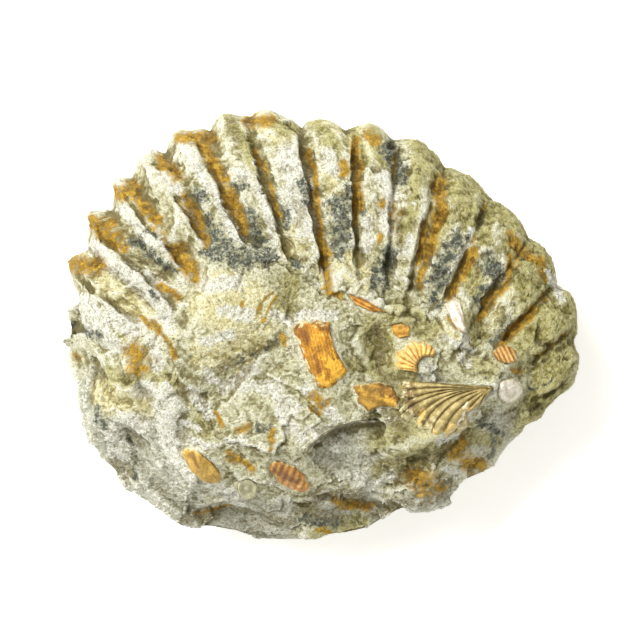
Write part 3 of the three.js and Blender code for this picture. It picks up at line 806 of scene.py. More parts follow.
def fan_place(piece, angle):
    """How far across the fan an angle is, from 0 to 1, falling back to 0 round behind the beak."""
    low, high = piece["between"]
    past = (angle - low) % 360
    across = high - low
    return np.where(past <= across, past / across, (1 - (past - across) / (360 - across)) ** 3)


def rib_wave(piece, x, y, share, margin):
    """A wave between -1 and 1 that follows the shell's ribs."""
    dx = x - piece["middle"][0]
    dy = y - piece["middle"][1]
    if piece["kind"] == "fan":
        wave = 2 * np.abs(np.sin(np.pi * piece["count"] * fan_place(piece, margin))) ** RIB_CROWN - 1
        return wave * smooth_step(*RIB_START, share)
    if piece["kind"] == "lines":
        turn = math.radians(piece["turn"])
        across = dy * math.cos(turn) - dx * math.sin(turn)
    else:
        across = np.hypot(dx, dy)
    return np.cos(2 * np.pi * across / piece["spacing"])


strip = SHELLS["shell_strip"]
print("share at a shell's middle:", share_out(*np.array(strip["middle"])[:, None], strip))

# %% [markdown]
# The limestone is finest where it broke into chips and smoothest in its hollows. Where a shell lies in it,
# the stone is lower and smoother, so that the shell is not buried in grain.

# %% The limestone
ROCK_LUMPS = [(layered, 0.9, 16, 5), (scoops, 3.2, 13, 5)]
ROCK_CHIPS = [(layered, 0.5, 4, 6), (scoops, 1.9, 4.5, 6)]
ROCK_GRIT = [(layered, 0.15, 1.3, 7), (scoops, 0.4, 1.7, 7)]
ROUGH_FROM = (2, 12)  # the underside is left flat below the first height
POCKET_DEPTH = 1.1
POCKET_EDGE = (0.95, 0.8)  # in shares of the way out on a shell
CALM_EDGE = (1.3, 0.95)
CALM_LEAST = 0.5  # of the roughness, taken away round every shell, and how much more round an open one
CALM_OPEN = 0.35
GRIT_CALMED = 0.6  # of what is taken from the lumps
CHIPPED = 0.45  # the share of the chips that every place has
CRUMBLED = [  # places broken into small chips: x, y, half-length, half-width, turn and share of the chips
    (32, -6, 13, 11, 0, 1), (12, -46, 17, 9, 8, 1), (-20, -34, 11, 6, 0, 0.8), (10, 4, 12, 5, 0, 0.6),
    (26, -38, 12, 6, 30, 0.8), (-38, -24, 8, 10, 0, 0.6), (50, -14, 8, 7, 0, 0.9),
]
CALM = [  # smooth places: the same measures, and the share of the roughness taken away
    (50.2, -33.8, 6, 5, -45, 1), (6.8, -38, 10, 6, 10, 0.6), (-26, -57, 12, 4, 0, 0.7),
    (2, -57, 8, 3, 0, 0.6), (-27, 5, 12, 9, 0, 0.5), (69, -6, 8, 14, 0, 0.5), (16.5, -6.5, 6, 4, 90, 0.7),
]


def strongest(points, places, base):
    """At each point, the greatest of the base and of the bells of all the places."""
    for place in places:
        base = np.maximum(base, place[5] * bell(points[:, 0], points[:, 1], place))
    return base


def shell_beds(points):
    """How calm the stone is round the shells, and how far it is let down under them."""
    calm = np.zeros(len(points))
    pocket = np.zeros(len(points))
    for piece in SHELLS.values():
        share = share_out(points[:, 0], points[:, 1], piece)
        open_share = 1 - buried_share(points[:, 0], points[:, 1], piece)
        calm = np.maximum(calm, (CALM_LEAST + CALM_OPEN * open_share) * smooth_step(*CALM_EDGE, share))
        pocket = np.maximum(pocket, smooth_step(*POCKET_EDGE, share) * open_share)
    return calm, POCKET_DEPTH * pocket * (points[:, 2] > ROCK_LEAST)


def make_rock():
    points, faces = closed_surface(rock_rings())
    calm, let_down = shell_beds(points)
    calm = strongest(points, CALM, calm)
    chips = rough(points, ROCK_CHIPS) * strongest(points, CRUMBLED, CHIPPED)
    lumps = (rough(points, ROCK_LUMPS) + chips) * (1 - calm)
    grit = rough(points, ROCK_GRIT) * (1 - GRIT_CALMED * calm)
    move = smooth_step(*ROUGH_FROM, points[:, 2]) * (lumps + grit - LET_IN) - let_down
    points = points + normals_of(points, faces) * move[:, None]
    return points, faces, relief_marks(points, faces)


print("crumbled places:", len(CRUMBLED), "smooth places:", len(CALM))

# %% [markdown]
# A shell's skin is a stack of rings from its middle to its margin, and three more that go down into the
# stone. Its margin is ragged and dips a little, so that stone seems to close over it.

# %% The shells
SHELL_RINGS = 26
MARGIN_RINGS = [(1, 0.35), (1.02, 1), (0.8, 1)]  # share out and share down
RAGGED = 0.09  # of the reach
MARGIN_DIP = 1.2  # how far the margin dips, how much that wavers, and the share out where it starts
MARGIN_WAVER = 1.6
MARGIN_FROM = 0.84
SHELL_NOISE = [(layered, 0.15, 1.5, 22), (scoops, 0.3, 3, 23)]
FAN_BEND = [0, 0.55, 0.7, 0.85, 1], [0, 1, 0.9, 0.6, 0]  # how much a rib bends, by its place across a fan
BEND_POWER = 0.8


def make_shell(piece):
    middle = np.array(piece["middle"])
    dx, dy = (piece["rim"] - middle).T
    angle = np.degrees(np.arctan2(dy, dx)) % 360
    rim = np.stack([*piece["rim"].T, dx * 0], axis=1)
    reach = np.hypot(dx, dy) * (1 + RAGGED * layered(rim, 3, 3, seed=21))
    dip = (MARGIN_DIP + MARGIN_WAVER * layered(rim, 3, seed=26)).clip(0)
    is_fan = piece["kind"] == "fan"
    bend = piece["bend"] * np.interp(fan_place(piece, angle), *FAN_BEND) if is_fan else 0
    tops = [(k / SHELL_RINGS, 0) for k in range(1, SHELL_RINGS + 1)]
    rings = []
    marks = []
    for share, sunk in tops + MARGIN_RINGS:
        inside = min(share, 1)
        turned = np.radians(angle - bend * (1 - inside) ** BEND_POWER)
        x = middle[0] + reach * share * np.cos(turned)
        y = middle[1] + reach * share * np.sin(turned)
        wave = rib_wave(piece, x, y, inside, angle)
        swell = math.sin(math.pi * inside) if is_fan else 1 - inside ** 2
        lift = piece["proud"] + piece["crown"] * swell + piece["height"] * wave
        lift = lift + rough(np.stack([x, y, x * 0], axis=1), SHELL_NOISE)
        lift = lift - dip * smooth_step(MARGIN_FROM, 1, share) - BURIED_DEPTH * buried_share(x, y, piece)
        z = rock_top(x, y) + lift - sunk * (piece["depth"] + lift)
        rings.append(np.stack([x, y, z], axis=1))
        marks.append(np.stack([np.full(len(x), float(share)), wave], axis=1))
    points, faces = closed_surface(rings)
    marks = np.vstack([[[0, 0]], *marks, [[MARGIN_RINGS[-1][0], 0]]])
    return points, faces, {"share": marks[:, 0], "ribs": marks[:, 1], **relief_marks(points, faces)}


print("rings in each shell:", SHELL_RINGS + len(MARGIN_RINGS))

# %% [markdown]
# The last shell stands on edge: only its thin rim shows, along the ledge over the smooth hollow. It is a
# narrow, deep bar that follows a line, with tapered ends and a little noise.

# %% The shell on edge
EDGE_LINE = [(-5.2, -37.4), (-3.6, -35.4), (-0.6, -32.6), (3.9, -29.7), (9.8, -28.1), (16.4, -27.9)]
EDGE_HALF_WIDTH = 0.45
EDGE_PROUD = 0.2
EDGE_DEPTH = 3
EDGE_STEPS = 90
EDGE_SIDES = 12
EDGE_BESIDE = 2  # how far beside the line the stone's height is read, and how far its ends taper
EDGE_TIP = 0.05  # of that length, so that the ends are blunt
EDGE_NOISE = 0.12
EDGE_SHARE = 0.7  # it has the colour of a shell this far out


def make_shell_edge():
    line = np.array(EDGE_LINE)
    lengths = np.concatenate([[0], np.cumsum(np.hypot(*np.diff(line, axis=0).T))])
    at = np.linspace(0, lengths[-1], EDGE_STEPS)
    x = np.interp(at, lengths, line[:, 0])
    y = np.interp(at, lengths, line[:, 1])
    ahead = np.stack([np.gradient(x), np.gradient(y)], axis=1)
    ahead = ahead / np.linalg.norm(ahead, axis=1, keepdims=True)
    top = rock_top(x - ahead[:, 1] * EDGE_BESIDE, y + ahead[:, 0] * EDGE_BESIDE) + EDGE_PROUD
    taper = np.sqrt(np.clip(np.minimum(at, lengths[-1] - at) / EDGE_BESIDE, EDGE_TIP, 1))
    turn = np.linspace(0, 2 * np.pi, EDGE_SIDES, endpoint=False)
    rings = []
    for i in range(EDGE_STEPS):
        side = EDGE_HALF_WIDTH * taper[i] * squared(np.cos(turn))
        z = top[i] - EDGE_DEPTH / 2 + EDGE_DEPTH / 2 * squared(np.sin(turn))
        rings.append(np.stack([x[i] - ahead[i, 1] * side, y[i] + ahead[i, 0] * side, z], axis=1))
    points, faces = closed_surface(rings)
    points = points + normals_of(points, faces) * EDGE_NOISE * layered(points, 1.2, seed=24)[:, None]
    values = {"share": np.full(len(points), EDGE_SHARE), "ribs": layered(points, 1.5, 1, seed=25)}
    return points, faces, {**values, **relief_marks(points, faces)}


print("points along the shell on edge:", EDGE_STEPS)

# %% [markdown]
# The fossil's colours come from what has stained it: iron in the grooves, chalk dust on the crests, manganese
# in dark specks, and clay. Each stain was laid down in a place of its own, so each is painted as a
# few broad strokes, given by a half-width and a line in millimetres. A picture wrapped on the stone would do
# the same, but it would fix the finest grain that can be seen, and a procedural edge has no such limit.

# %% Stains
STAINS = {}  # the order counts, since each stain has its own noise on the sides that nobody sees
STROKE_FADE = {"dark": (1.9, 0.3), "rust": (2.2, 0.1), "chalk": (1.8, 0.3), "brown": (1.9, 0.2)}
PLAIN_FADE = (1.5, 0.35)  # in half-widths: how far out a stroke ends, and how far out it is whole
print("stains with a fade of their own:", ", ".join(STROKE_FADE))

# %% [markdown]
# Fresh breaks are grey, because nothing has stained them yet. They lie on the faces that broke last: the
# left side, the lower rim and the smooth hollow.

# %% Grey stone
STAINS["grey"] = [
    (8, [(-66, -20), (-60, -34), (-50, -48)]), (9, [(-48, -30), (-40, -54)]),
    (7, [(-28, -58), (-12, -56)]), (6, [(2, -54), (14, -54)]), (8, [(4, -36), (12, -42)]),
    (6, [(48, -34), (52, -30)]), (5, [(26, -52), (36, -50)]), (1.7, [(29, -11.5), (33, -13)]),
    (1.4, [(29, -15), (35, -16)]),
]
print("strokes of grey:", len(STAINS["grey"]))

# %% [markdown]
# Iron has washed down the steep side of most ribs, so its strokes run from the rim inwards, broken where
# clay covers them. More of it lies as small spots between the shells.

# %% Rust
STAINS["rust"] = [
    (2.3, [(-74.5, 18), (-65, 16.5)]), (1.4, [(-68, 29), (-61, 29.5)]),
    (1.3, [(-67, 31), (-63.5, 25.5), (-57, 21.5)]), (1, [(-47, 11), (-42, 8)]),
    (2, [(-59.5, 38.5), (-54.5, 39.5)]), (1.5, [(-55, 39), (-52.5, 34.5), (-48, 29.5)]),
    (2.3, [(-42, 21.5), (-39, 16.5)]), (1.7, [(-37.5, 16.5), (-37, 13)]), (1.7, [(-47, 48), (-42.5, 43)]),
    (1.3, [(-40, 37), (-37, 32), (-33.5, 24.5)]), (1.7, [(-41, 54.5), (-31.5, 54)]),
    (1.7, [(-34.5, 52), (-31.5, 47), (-29, 42)]), (1.5, [(-26.5, 38), (-24, 34), (-22.5, 27.5)]),
    (0.6, [(-16.5, 47.5), (-14.5, 39), (-12.5, 31)]), (1.7, [(-21, 59), (-14.5, 59.5)]),
    (0.9, [(-3.5, 50.5), (-1.5, 38), (0.5, 23.5)]), (1.2, [(0.5, 23.5), (2, 9)]),
    (1, [(6, 48), (6.5, 43.5)]), (1.2, [(10, 53.5), (10.5, 43), (11, 34)]),
    (1.5, [(13.5, 55.5), (16, 53)]), (0.9, [(18, 36), (18, 34.5)]), (0.9, [(17, 26), (17, 24)]),
    (1.7, [(34, 41.5), (35, 34.5), (33.5, 28.5)]), (1.7, [(33.5, 28), (31.5, 21.5)]),
    (1, [(30.5, 20.5), (29, 13.5)]), (0.9, [(29, 13), (29, 10.5)]),
    (1.2, [(44.5, 22), (42, 15.5), (37.5, 8)]), (1.2, [(55, 25.5), (56.5, 22.5)]),
    (1, [(55, 20), (54.5, 13), (50.5, 8), (45.5, 1.5)]), (1.2, [(58.5, 21), (64.5, 17)]),
    (0.9, [(63, 15), (65, 13)]), (1.2, [(62, 4), (56.5, -1.5), (51, -6.5)]),
    (0.9, [(-49, 0.5), (-45.5, -4), (-43, -9.5)]), (0.7, [(-52.5, 2.5), (-50, -1)]),
    (0.4, [(-15, 9), (-17.5, 6), (-19, 2.5)]), (0.4, [(-13.5, 8), (-15.5, 4.5), (-17.5, 0.5)]),
    (0.7, [(-23.5, 6), (-23.5, 5)]), (2.9, [(-55, -8), (-53, -12)]), (0.6, [(0.5, 10), (5, 8)]),
    (0.8, [(-11.5, -3.5), (-10.5, -6)]), (0.8, [(-31, -25), (-30.5, -27), (-29, -29)]),
    (1.5, [(-26.5, -38.5), (-24.5, -39.5)]), (1.2, [(-23, -39.5), (-20, -42)]),
    (0.9, [(-24.5, -31.5), (-21, -30)]), (0.9, [(-14, -31.5), (-14.5, -36.5)]),
    (1.5, [(-3, -20.5), (-1, -21.5)]), (1.2, [(0, -23.5), (2.5, -22)]),
    (0.9, [(-2.5, -24.5), (-1, -25.5)]), (1.2, [(5.5, -52), (14.5, -53)]),
    (0.9, [(2.5, -50.5), (5.5, -51.5)]), (0.9, [(0, -60), (2.5, -60.5)]),
    (3.2, [(27.5, -44.5), (30.5, -46.5)]), (1.2, [(33, -48), (35, -48)]), (2, [(39, -37.5), (41.5, -35)]),
    (2.3, [(42.5, -40.5), (46, -41)]), (0.9, [(56, -13), (57.5, -13.5)]), (0.6, [(36.5, 2.5), (39, -1)]),
    (0.4, [(-37, -56), (-33.5, -54), (-26.5, -53)]), (0.9, [(-71.5, -9), (-71, -10.5)]),
]
print("strokes of rust:", len(STAINS["rust"]))

# %% [markdown]
# Manganese is black and grows in damp corners. It lies in the grooves near the middle, in the hollows on
# the left, and in a few branching lines on the smooth face at the lower right.

# %% Manganese
STAINS["dark"] = [
    (1.9, [(-55, 24), (-50, 20.5)]), (1.2, [(-48, 19), (-42.5, 15.5)]), (0.8, [(-50, 27), (-43.5, 22.5)]),
    (0.9, [(-50, 9.5), (-48, 7)]), (1.2, [(-72.5, 0.5), (-69, -1.5), (-65, -4)]),
    (1.5, [(-36.5, 38.5), (-35, 36.5)]), (1.9, [(-33, 30), (-28.5, 24)]),
    (3.5, [(-31.5, 21.5), (-23.5, 19), (-16, 20.5)]), (2.9, [(-21.5, 32), (-19.5, 26), (-17, 20)]),
    (0.9, [(-26.5, 40), (-21.5, 40)]), (1.7, [(-5.5, 41.5), (-3.5, 36)]),
    (1.5, [(-11.5, 33), (-10.5, 29)]), (1.2, [(-8.5, 18.5), (-7, 16.5)]),
    (3.3, [(5, 34.5), (6.5, 28), (5, 22.5)]), (1.2, [(7.5, 39.5), (8.5, 34.5)]),
    (0.9, [(12, 35.5), (12.5, 32)]), (2.3, [(19, 51.5), (21.5, 48)]), (1.7, [(23, 46), (23.5, 41.5)]),
    (2, [(20, 22), (18.5, 17.5), (16.5, 11.5)]), (2.7, [(40, 24.5), (35.5, 18), (33.5, 11.5)]),
    (1.1, [(32, 10), (33.5, 5.5)]), (2.3, [(47.5, 18), (51.5, 13.5)]), (1.2, [(46.5, 9.5), (51, 11.5)]),
    (1.2, [(45, 7), (47.5, 4)]), (1.5, [(55, 0.5), (49.5, -5.5)]),
    (0.8, [(-56, -31.5), (-55, -37.5), (-54.5, -44.5)]), (1.5, [(-65, -25), (-63.5, -28.5)]),
    (0.5, [(-13, -4.5), (-17, -7.5), (-24, -11.5)]), (1, [(-18.5, -30.5), (-14.5, -31)]),
    (0.9, [(46, -29), (49.5, -29)]), (0.9, [(49, -29.5), (53.5, -32)]), (0.7, [(50, -32), (51, -35)]),
    (0.5, [(50, -35), (49, -39)]), (0.3, [(60.5, -18.5), (62, -19), (63.5, -18)]),
    (0.3, [(65, -17.5), (67.5, -16)]), (1.4, [(-5, -57), (4, -58)]),
]
print("strokes of dark:", len(STAINS["dark"]))

# %% [markdown]
# Chalk dust stays on what stands out, so most of its strokes follow the crests of the ribs. On the
# limestone it marks the ledges and the broken corners.

# %% Chalk dust
STAINS["chalk"] = [
    (2.3, [(-66.5, 23), (-60, 16.5), (-48.5, 8), (-43.5, -0.5)]),
    (2.9, [(-73.5, 8), (-63.5, 3), (-53.5, -1.5)]), (2.6, [(-69, 3.5), (-59.5, -6.5)]),
    (1.5, [(-58.5, 34), (-50, 24.5)]), (1.2, [(-47.5, 22.5), (-40, 15)]),
    (1.3, [(-46.5, 43), (-40.5, 38), (-34.5, 25.5), (-33, 20)]),
    (2.6, [(-39.5, 51.5), (-35.5, 45), (-32.5, 40)]), (2, [(-30, 36), (-27, 29.5), (-25, 24.5)]),
    (1.2, [(-18.5, 38.5), (-14.5, 29.5), (-12.5, 20)]), (2, [(-26, 43.5), (-22, 42.5)]),
    (1.2, [(-19.5, 47), (-17.5, 45.5)]), (3.8, [(-10, 48.5), (-5.5, 39), (-3.5, 27)]),
    (2, [(-11, 39), (-8.5, 30.5)]), (2.3, [(2, 49.5), (3.5, 45)]), (2.6, [(18, 42.5), (20, 37.5)]),
    (2, [(19, 33.5), (19, 27.5)]), (0.9, [(26.5, 35), (27, 34.5)]), (1.5, [(26, 25.5), (24, 20)]),
    (1.2, [(43.5, 27.5), (42.5, 22), (38, 15.5)]), (0.9, [(52, 19), (53, 11.5)]),
    (1.7, [(-50, -4.5), (-47.5, -13)]), (2, [(-45.5, -18.5), (-44, -30.5)]), (1.7, [(-13.5, 3), (-9, 1)]),
    (1.7, [(-5.5, 3), (4, 2.5)]), (1.2, [(-46, -34), (-30, -35.5)]), (1.5, [(-27, -34), (-22.5, -34.5)]),
    (1.5, [(-6.5, -3.5), (-5, -8)]), (1.2, [(34, -34), (38.5, -33)]), (1.7, [(40.5, -10), (42.5, -11.5)]),
    (1.5, [(10.5, -44.5), (12.5, -46.5)]), (1.2, [(-10.5, -31), (-5.5, -34)]),
    (1.2, [(-40.5, -28), (-35.5, -31)]), (0.9, [(-65, -25.5), (-64, -28)]),
    (1.2, [(37, 7), (39, 3), (42, -4.5)]), (1.5, [(36.5, -42.5), (39, -43.5)]),
    (2.5, [(-47, -24), (-44, -36), (-40, -46)]), (2, [(-58, -26), (-52, -30)]),
    (2, [(-36, -42), (-30, -48), (-24, -52)]), (1.6, [(20, -44), (14, -48)]), (1.2, [(36, -4), (44, -8)]),
    (1.4, [(-34, -14), (-28, -18), (-12, -18)]), (2.4, [(-40, 16), (-33, 11), (-24, 12)]),
    (2, [(-16, -19), (-8, -24)]), (2.5, [(-52, -18), (-42, -24)]), (2, [(-12, -24), (-6, -34)]),
    (1.8, [(-51, 14.5), (-45, 10)]), (1.5, [(13.5, 31), (13.5, 22)]), (3, [(-61, -31), (-57, -37)]),
    (1.8, [(-34, -5), (-27, -3)]), (2, [(-29, 4), (-21, 2)]), (1.6, [(-20, -13), (-28, -19)]),
    (1.8, [(-38, -19), (-33, -26)]), (1.6, [(-5, -18), (4, -27)]), (1.5, [(-4, -31), (4, -36)]),
    (1.6, [(-48, 26), (-44, 22)]), (1.2, [(66, 15), (70, 7)]),
]
print("strokes of chalk:", len(STAINS["chalk"]))

# %% [markdown]
# Where the surface has been rubbed, the stone's own cream colour shows. These places are broad and soft,
# so a few wide strokes are enough.

# %% Cream stone
STAINS["cream"] = [
    (9.9, [(-29, 7), (-22, 3.5)]), (5.8, [(-33.5, -8), (-23.5, -3.5)]),
    (2.9, [(-64, 12), (-57, 7), (-51, 1)]), (2.6, [(58, 16.5), (52.5, 7), (47, -1)]),
    (3.5, [(1.5, 59.5), (6.5, 55.5)]), (2.9, [(13.5, 56), (17, 50.5)]), (4.1, [(7, 18), (13, 13)]),
    (4.1, [(-9, 21.5), (-5.5, 27)]), (4.1, [(-19, 60), (-12, 56.5)]), (6.4, [(-61.5, -20), (-47, -20)]),
    (2.9, [(34.5, -1.5), (43.5, -3.5)]), (2.3, [(1.5, 43), (4, 39)]), (2.9, [(28.5, -31), (39, -30.5)]),
    (2.3, [(-17.5, -1.5), (-23.5, -14)]), (2.6, [(-50, 2), (-44, -2)]),
]
print("strokes of cream:", len(STAINS["cream"]))

# %% [markdown]
# Dried clay with a little green growth clings to the right-hand ribs, to the rim, and to the sheltered
# stone in the middle.

# %% Clay
STAINS["olive"] = [
    (7.6, [(68.5, 7), (70, -4.5), (66, -19), (62, -31)]),
    (5.8, [(38, 52), (47.5, 41.5), (59, 29.5), (67, 16.5)]), (4.7, [(27.5, 56), (32, 49), (34.5, 43)]),
    (4.7, [(14.5, -0.5), (16.5, -12)]), (4, [(23, 5), (31, -2)]), (3.2, [(42, -11), (50, -13)]),
    (3.5, [(17, -42.5), (28.5, -38), (40.5, -34)]), (3, [(-36.5, -22), (-34, -31)]),
    (2.3, [(-22, 52), (-19.5, 46)]), (3.5, [(-8.5, 13), (-11, 6)]), (2.6, [(-61.5, 0.5), (-59.5, -3.5)]),
    (3.5, [(-0.5, -62), (11, -57)]), (2.9, [(-62, -15), (-44, -16.5)]),
    (2.3, [(28.5, 50.5), (27, 36), (24, 24.5)]), (2.6, [(48.5, 36), (47.5, 24.5)]),
    (4.5, [(40, 40), (44, 30)]), (5, [(56, 22), (62, 8), (60, -8)]), (3.5, [(36, 32), (32, 24)]),
    (3.5, [(22, -20), (26, -30), (16, -34)]), (3, [(54, -4), (60, -12)]), (3, [(40, 4), (46, -4)]),
    (4, [(19, 1), (26, 2)]), (3.5, [(42, 20), (46, 8)]), (2.5, [(8, -12), (16, -14.5), (26, -16)]),
    (2.5, [(19, -4), (18, -14)]), (3, [(41, -31), (50, -34)]), (2.8, [(19, -7), (22, -13)]),
    (2.4, [(24, -27), (28, -30)]), (2, [(-27, 60), (-24, 55)]), (1.8, [(-16, 59), (-8, 57)]),
    (2.2, [(-2, 59), (4, 52)]), (2.2, [(8, 58), (12, 48)]), (2, [(15, 57), (18, 48)]),
]
print("strokes of olive:", len(STAINS["olive"]))

# %% [markdown]
# Brown lies at the foot of the ledges, under the rims of the shells and along the lower rim: partly earth,
# where a brush does not reach, and partly painted shade. Its thin lines draw the shadowed gaps as painted
# shade.

# %% Earth and painted shade
STAINS["brown"] = [
    (2, [(-26.5, 59), (-24.5, 53.5)]), (1.2, [(22.5, 32.5), (23, 22.5)]),
    (0.6, [(-37.5, -57), (-34.5, -54), (-29.5, -52.5), (-21.5, -52.5), (-14.5, -55.5)]),
    (0.6, [(-4, -36), (-2, -34), (2, -31.5), (5.5, -29), (11.5, -28.5)]), (0.6, [(60, -8), (60, -25.5)]),
    (1.5, [(21.5, -46.5), (28.5, -42), (39, -35)]),
    (1.5, [(-11.5, -3), (-15.5, -6), (-24, -10), (-32, -14.5), (-38.5, -18), (-42.5, -22)]),
    (1.2, [(-58.5, -14), (-53, -14.5)]), (0.9, [(20, -0.5), (25, 0)]),
    (0.9, [(23, -14.5), (24, -22), (24.5, -29)]), (1.5, [(-70, 15.5), (-65, 14)]),
    (0.9, [(19.5, 52), (20, 51)]), (1.5, [(-4.5, -52), (-0.5, -49), (5, -48.5), (15.5, -52)]),
    (1.4, [(-59, -39), (-55, -45)]), (0.5, [(-2, -35.5), (2.5, -35.5)]),
    (1.5, [(-39.5, -55.5), (-42, -58.5)]), (1.2, [(16, -14), (24, -16.5)]),
    (1, [(15, -1), (17.5, -6), (17, -13)]), (1, [(12, -27), (22, -27)]), (2.6, [(-6, -54), (5, -57)]),
    (3.4, [(18, -54), (26, -52), (36, -47)]), (2.6, [(19, -17), (24, -27)]),
    (2.2, [(-38, -57), (-31, -56)]), (1.8, [(-15, -57), (-8, -57)]), (1.5, [(-61, -41), (-57, -47)]),
    (3.5, [(20, -42), (30, -41), (40, -35)]), (2.5, [(18, -26), (24, -30)]),
]
print("strokes of brown:", len(STAINS["brown"]))

# %% [markdown]
# The shells are stained too: brighter where fresh shell shows, deeper where the top layer has gone, and pale
# where they are worn. The deep strokes on the large scallop's left part are painted shadow.

# %% Stains on the shells
SHELL_STAINS = {
    "bright": [
        (2.6, [(3.5, -11.5), (5.5, -14.5)]), (1.5, [(0, -15.5), (2.5, -17)]),
        (1.6, [(29.5, -25.5), (27.8, -29.8)]), (1.3, [(35.5, -31.2), (38, -30)]),
        (1, [(31.5, -30.8), (33, -31)]), (0.8, [(43, -25.5), (43.8, -28)]),
        (1, [(27.5, -5.8), (29.8, -7.6)]), (0.9, [(21.6, -12.2), (25, -12.6)]),
        (1.3, [(19, -21), (21, -22)]),
    ],
    # deeper where the top layer has gone, and painted shadow on the large scallop's left part
    "deep": [
        (1.6, [(-6.5, -1), (-4.5, -5)]), (1.2, [(-1.5, 0.2), (1.5, -1)]),
        (0.8, [(-2, -9), (-0.5, -14.5)]), (2.6, [(25.5, -20.5), (26, -25.5)]),
        (1, [(24.5, -15.5), (26.5, -19)]), (1.4, [(18, -18), (21, -21)]), (0.8, [(-38, -38), (-36, -41)]),
        (0.8, [(-13, -43), (-8, -46)]),
    ],
    "pale": [
        (0.4, [(-8.2, -0.8), (-6, -7.5), (-3.2, -14), (-1.2, -17.6)]), (1.2, [(31.5, -33), (37, -33.3)]),
        (0.8, [(42, -23.5), (40, -29)]),
    ],
}
print("stains on the shells:", ", ".join(SHELL_STAINS))

# %% [markdown]
# The strokes are laid on from far above and bent by noise, and their strength is kept on the points of the
# mesh, one number for each stain. The sides that can't be seen from above get the same stains at random.

# %% Painting
BEND_WIDE = 1.1  # how far the strokes stray, and over what length, at first broadly and then finely
BEND_WIDE_SIZE = 6
BEND_FINE = 0.5
BEND_FINE_SIZE = 1.7
STROKE_HEIGHT = 30  # the strokes are given as seen from far above, at this height
STROKE_DISTANCE = 1553
SIDES = (8, 18)  # heights between which the strokes give way to stains at random
PATCH_SIZE = 13
PATCH_EDGE = (0.25, 0.5)


def bent_places(points):
    """Where each point lies under the strokes, as seen from far above and bent by noise."""
    bends = []
    for seed in (8, 9):
        wide = BEND_WIDE * layered(points, BEND_WIDE_SIZE, seed=seed)
        bends.append(wide + BEND_FINE * layered(points, BEND_FINE_SIZE, 1, seed=seed))
    seen = 1 + (points[:, 2] - STROKE_HEIGHT) / STROKE_DISTANCE
    return points[:, 0] * seen + bends[0], points[:, 1] * seen + bends[1]


def paint(points, stains, spread=0.0):
    """How strong each stain is at each point, from 0 to 1. On hidden sides it is spread at random."""
    x, y = bent_places(points)
    from_above = smooth_step(*SIDES, points[:, 2])
    masks = {}
    for order, (kind, strokes) in enumerate(stains.items()):
        fade = STROKE_FADE.get(kind, PLAIN_FADE)
        mask = np.zeros(len(points))
        for half_width, line in strokes:
            distance, _, _ = nearest_on_line(x, y, line)
            mask = np.maximum(mask, smooth_step(*fade, distance / half_width))
        masks[kind] = mask * from_above
        if spread:
            patches = smooth_step(*PATCH_EDGE, layered(points, PATCH_SIZE, 3, seed=40 + order))
            masks[kind] = masks[kind] + patches * spread * (1 - from_above)
    return masks


print("strokes in all:", sum(len(strokes) for strokes in STAINS.values()))

# %% [markdown]
# Every mesh is made once here, with its stains, and takes the place of its solid from the shared model. The
# whorl's grooves carry rust of their own, which is joined to the strokes of rust.

# %% Build the pieces
SIDE_STAINS = 0.7  # how strong the stains are on the sides that nobody sees
pieces = {}

points, faces, values = make_whorl()
masks = paint(points, STAINS, SIDE_STAINS)
masks["rust"] = np.maximum(masks["rust"], values.pop("rusty"))
pieces["ammonite"] = add_piece("ribbed_whorl", points, faces, "ammonite", {**values, **masks})

points, faces, values = make_rock()
masks = paint(points, STAINS, SIDE_STAINS)
pieces["matrix"] = add_piece("limestone", points, faces, "matrix", {**values, **masks})

skins = {name: make_shell(piece) for name, piece in SHELLS.items()}
skins["shell_edge"] = make_shell_edge()
for name, (points, faces, values) in skins.items():
    masks = paint(points, SHELL_STAINS)
    pieces[name] = add_piece(name + "_skin", points, faces, name, {**values, **masks})
print("pieces:", len(pieces))

# %% [markdown]
# A material is a small machine of nodes: each takes numbers or colours in and puts some out. A few helpers
# keep that readable. They add a node, link what is linked and set what is a plain number.

# %% Node helpers


def fill(tree, sockets, wanted):
    """Sets each socket to a number or a colour, or links it to another node's output."""
    for key, value in wanted.items():
        if isinstance(value, bpy.types.NodeSocket):
            tree.links.new(value, sockets[key])
        else:
            sockets[key].default_value = value


def node(tree, kind, inputs=None, **settings):
    made = tree.nodes.new("ShaderNode" + kind)
    for key, value in settings.items():
        setattr(made, key, value)
    fill(tree, made.inputs, inputs or {})
    return made


def worked(tree, operation, first, second=0.0, third=0.0):
    return node(tree, "Math", {0: first, 1: second, 2: third}, operation=operation).outputs[0]


def times(tree, first, second):
    return worked(tree, "MULTIPLY", first, second)


def scaled(tree, value, factor, more):
    """The value times the factor, and something more."""
    return worked(tree, "MULTIPLY_ADD", value, factor, more)


def shared(tree, first, second, share):
    """A share of the first value, and the rest from the second."""
    return scaled(tree, first, share, times(tree, second, 1 - share))


def summed(tree, values, shares, total=0.0):
    """The sum of some named values, each times its own share."""
    for name, share in shares.items():
        total = scaled(tree, values[name], share, total)
    return total


def ranged(tree, value, start, end, **settings):
    """Moves a value from one range to another, each given as two numbers."""
    ends = {"From Min": start[0], "From Max": start[1], "To Min": end[0], "To Max": end[1]}
    return node(tree, "MapRange", {"Value": value, **ends}, **settings).outputs[0]


def mixed(tree, factor, first, second, blend="MIX"):
    made = node(tree, "Mix", data_type="RGBA", blend_type=blend, clamp_factor=True)
    fill(tree, made.inputs, {0: factor, 6: first, 7: second})
    return made.outputs[2]


def tone(red, green, blue):
    """A colour given as it looks, from 0 to 255, in the linear numbers that shaders use."""
    linear = [((v / 255 + 0.055) / 1.055) ** 2.4 if v > 10 else v / 255 / 12.92 for v in (red, green, blue)]
    return (*linear, 1)


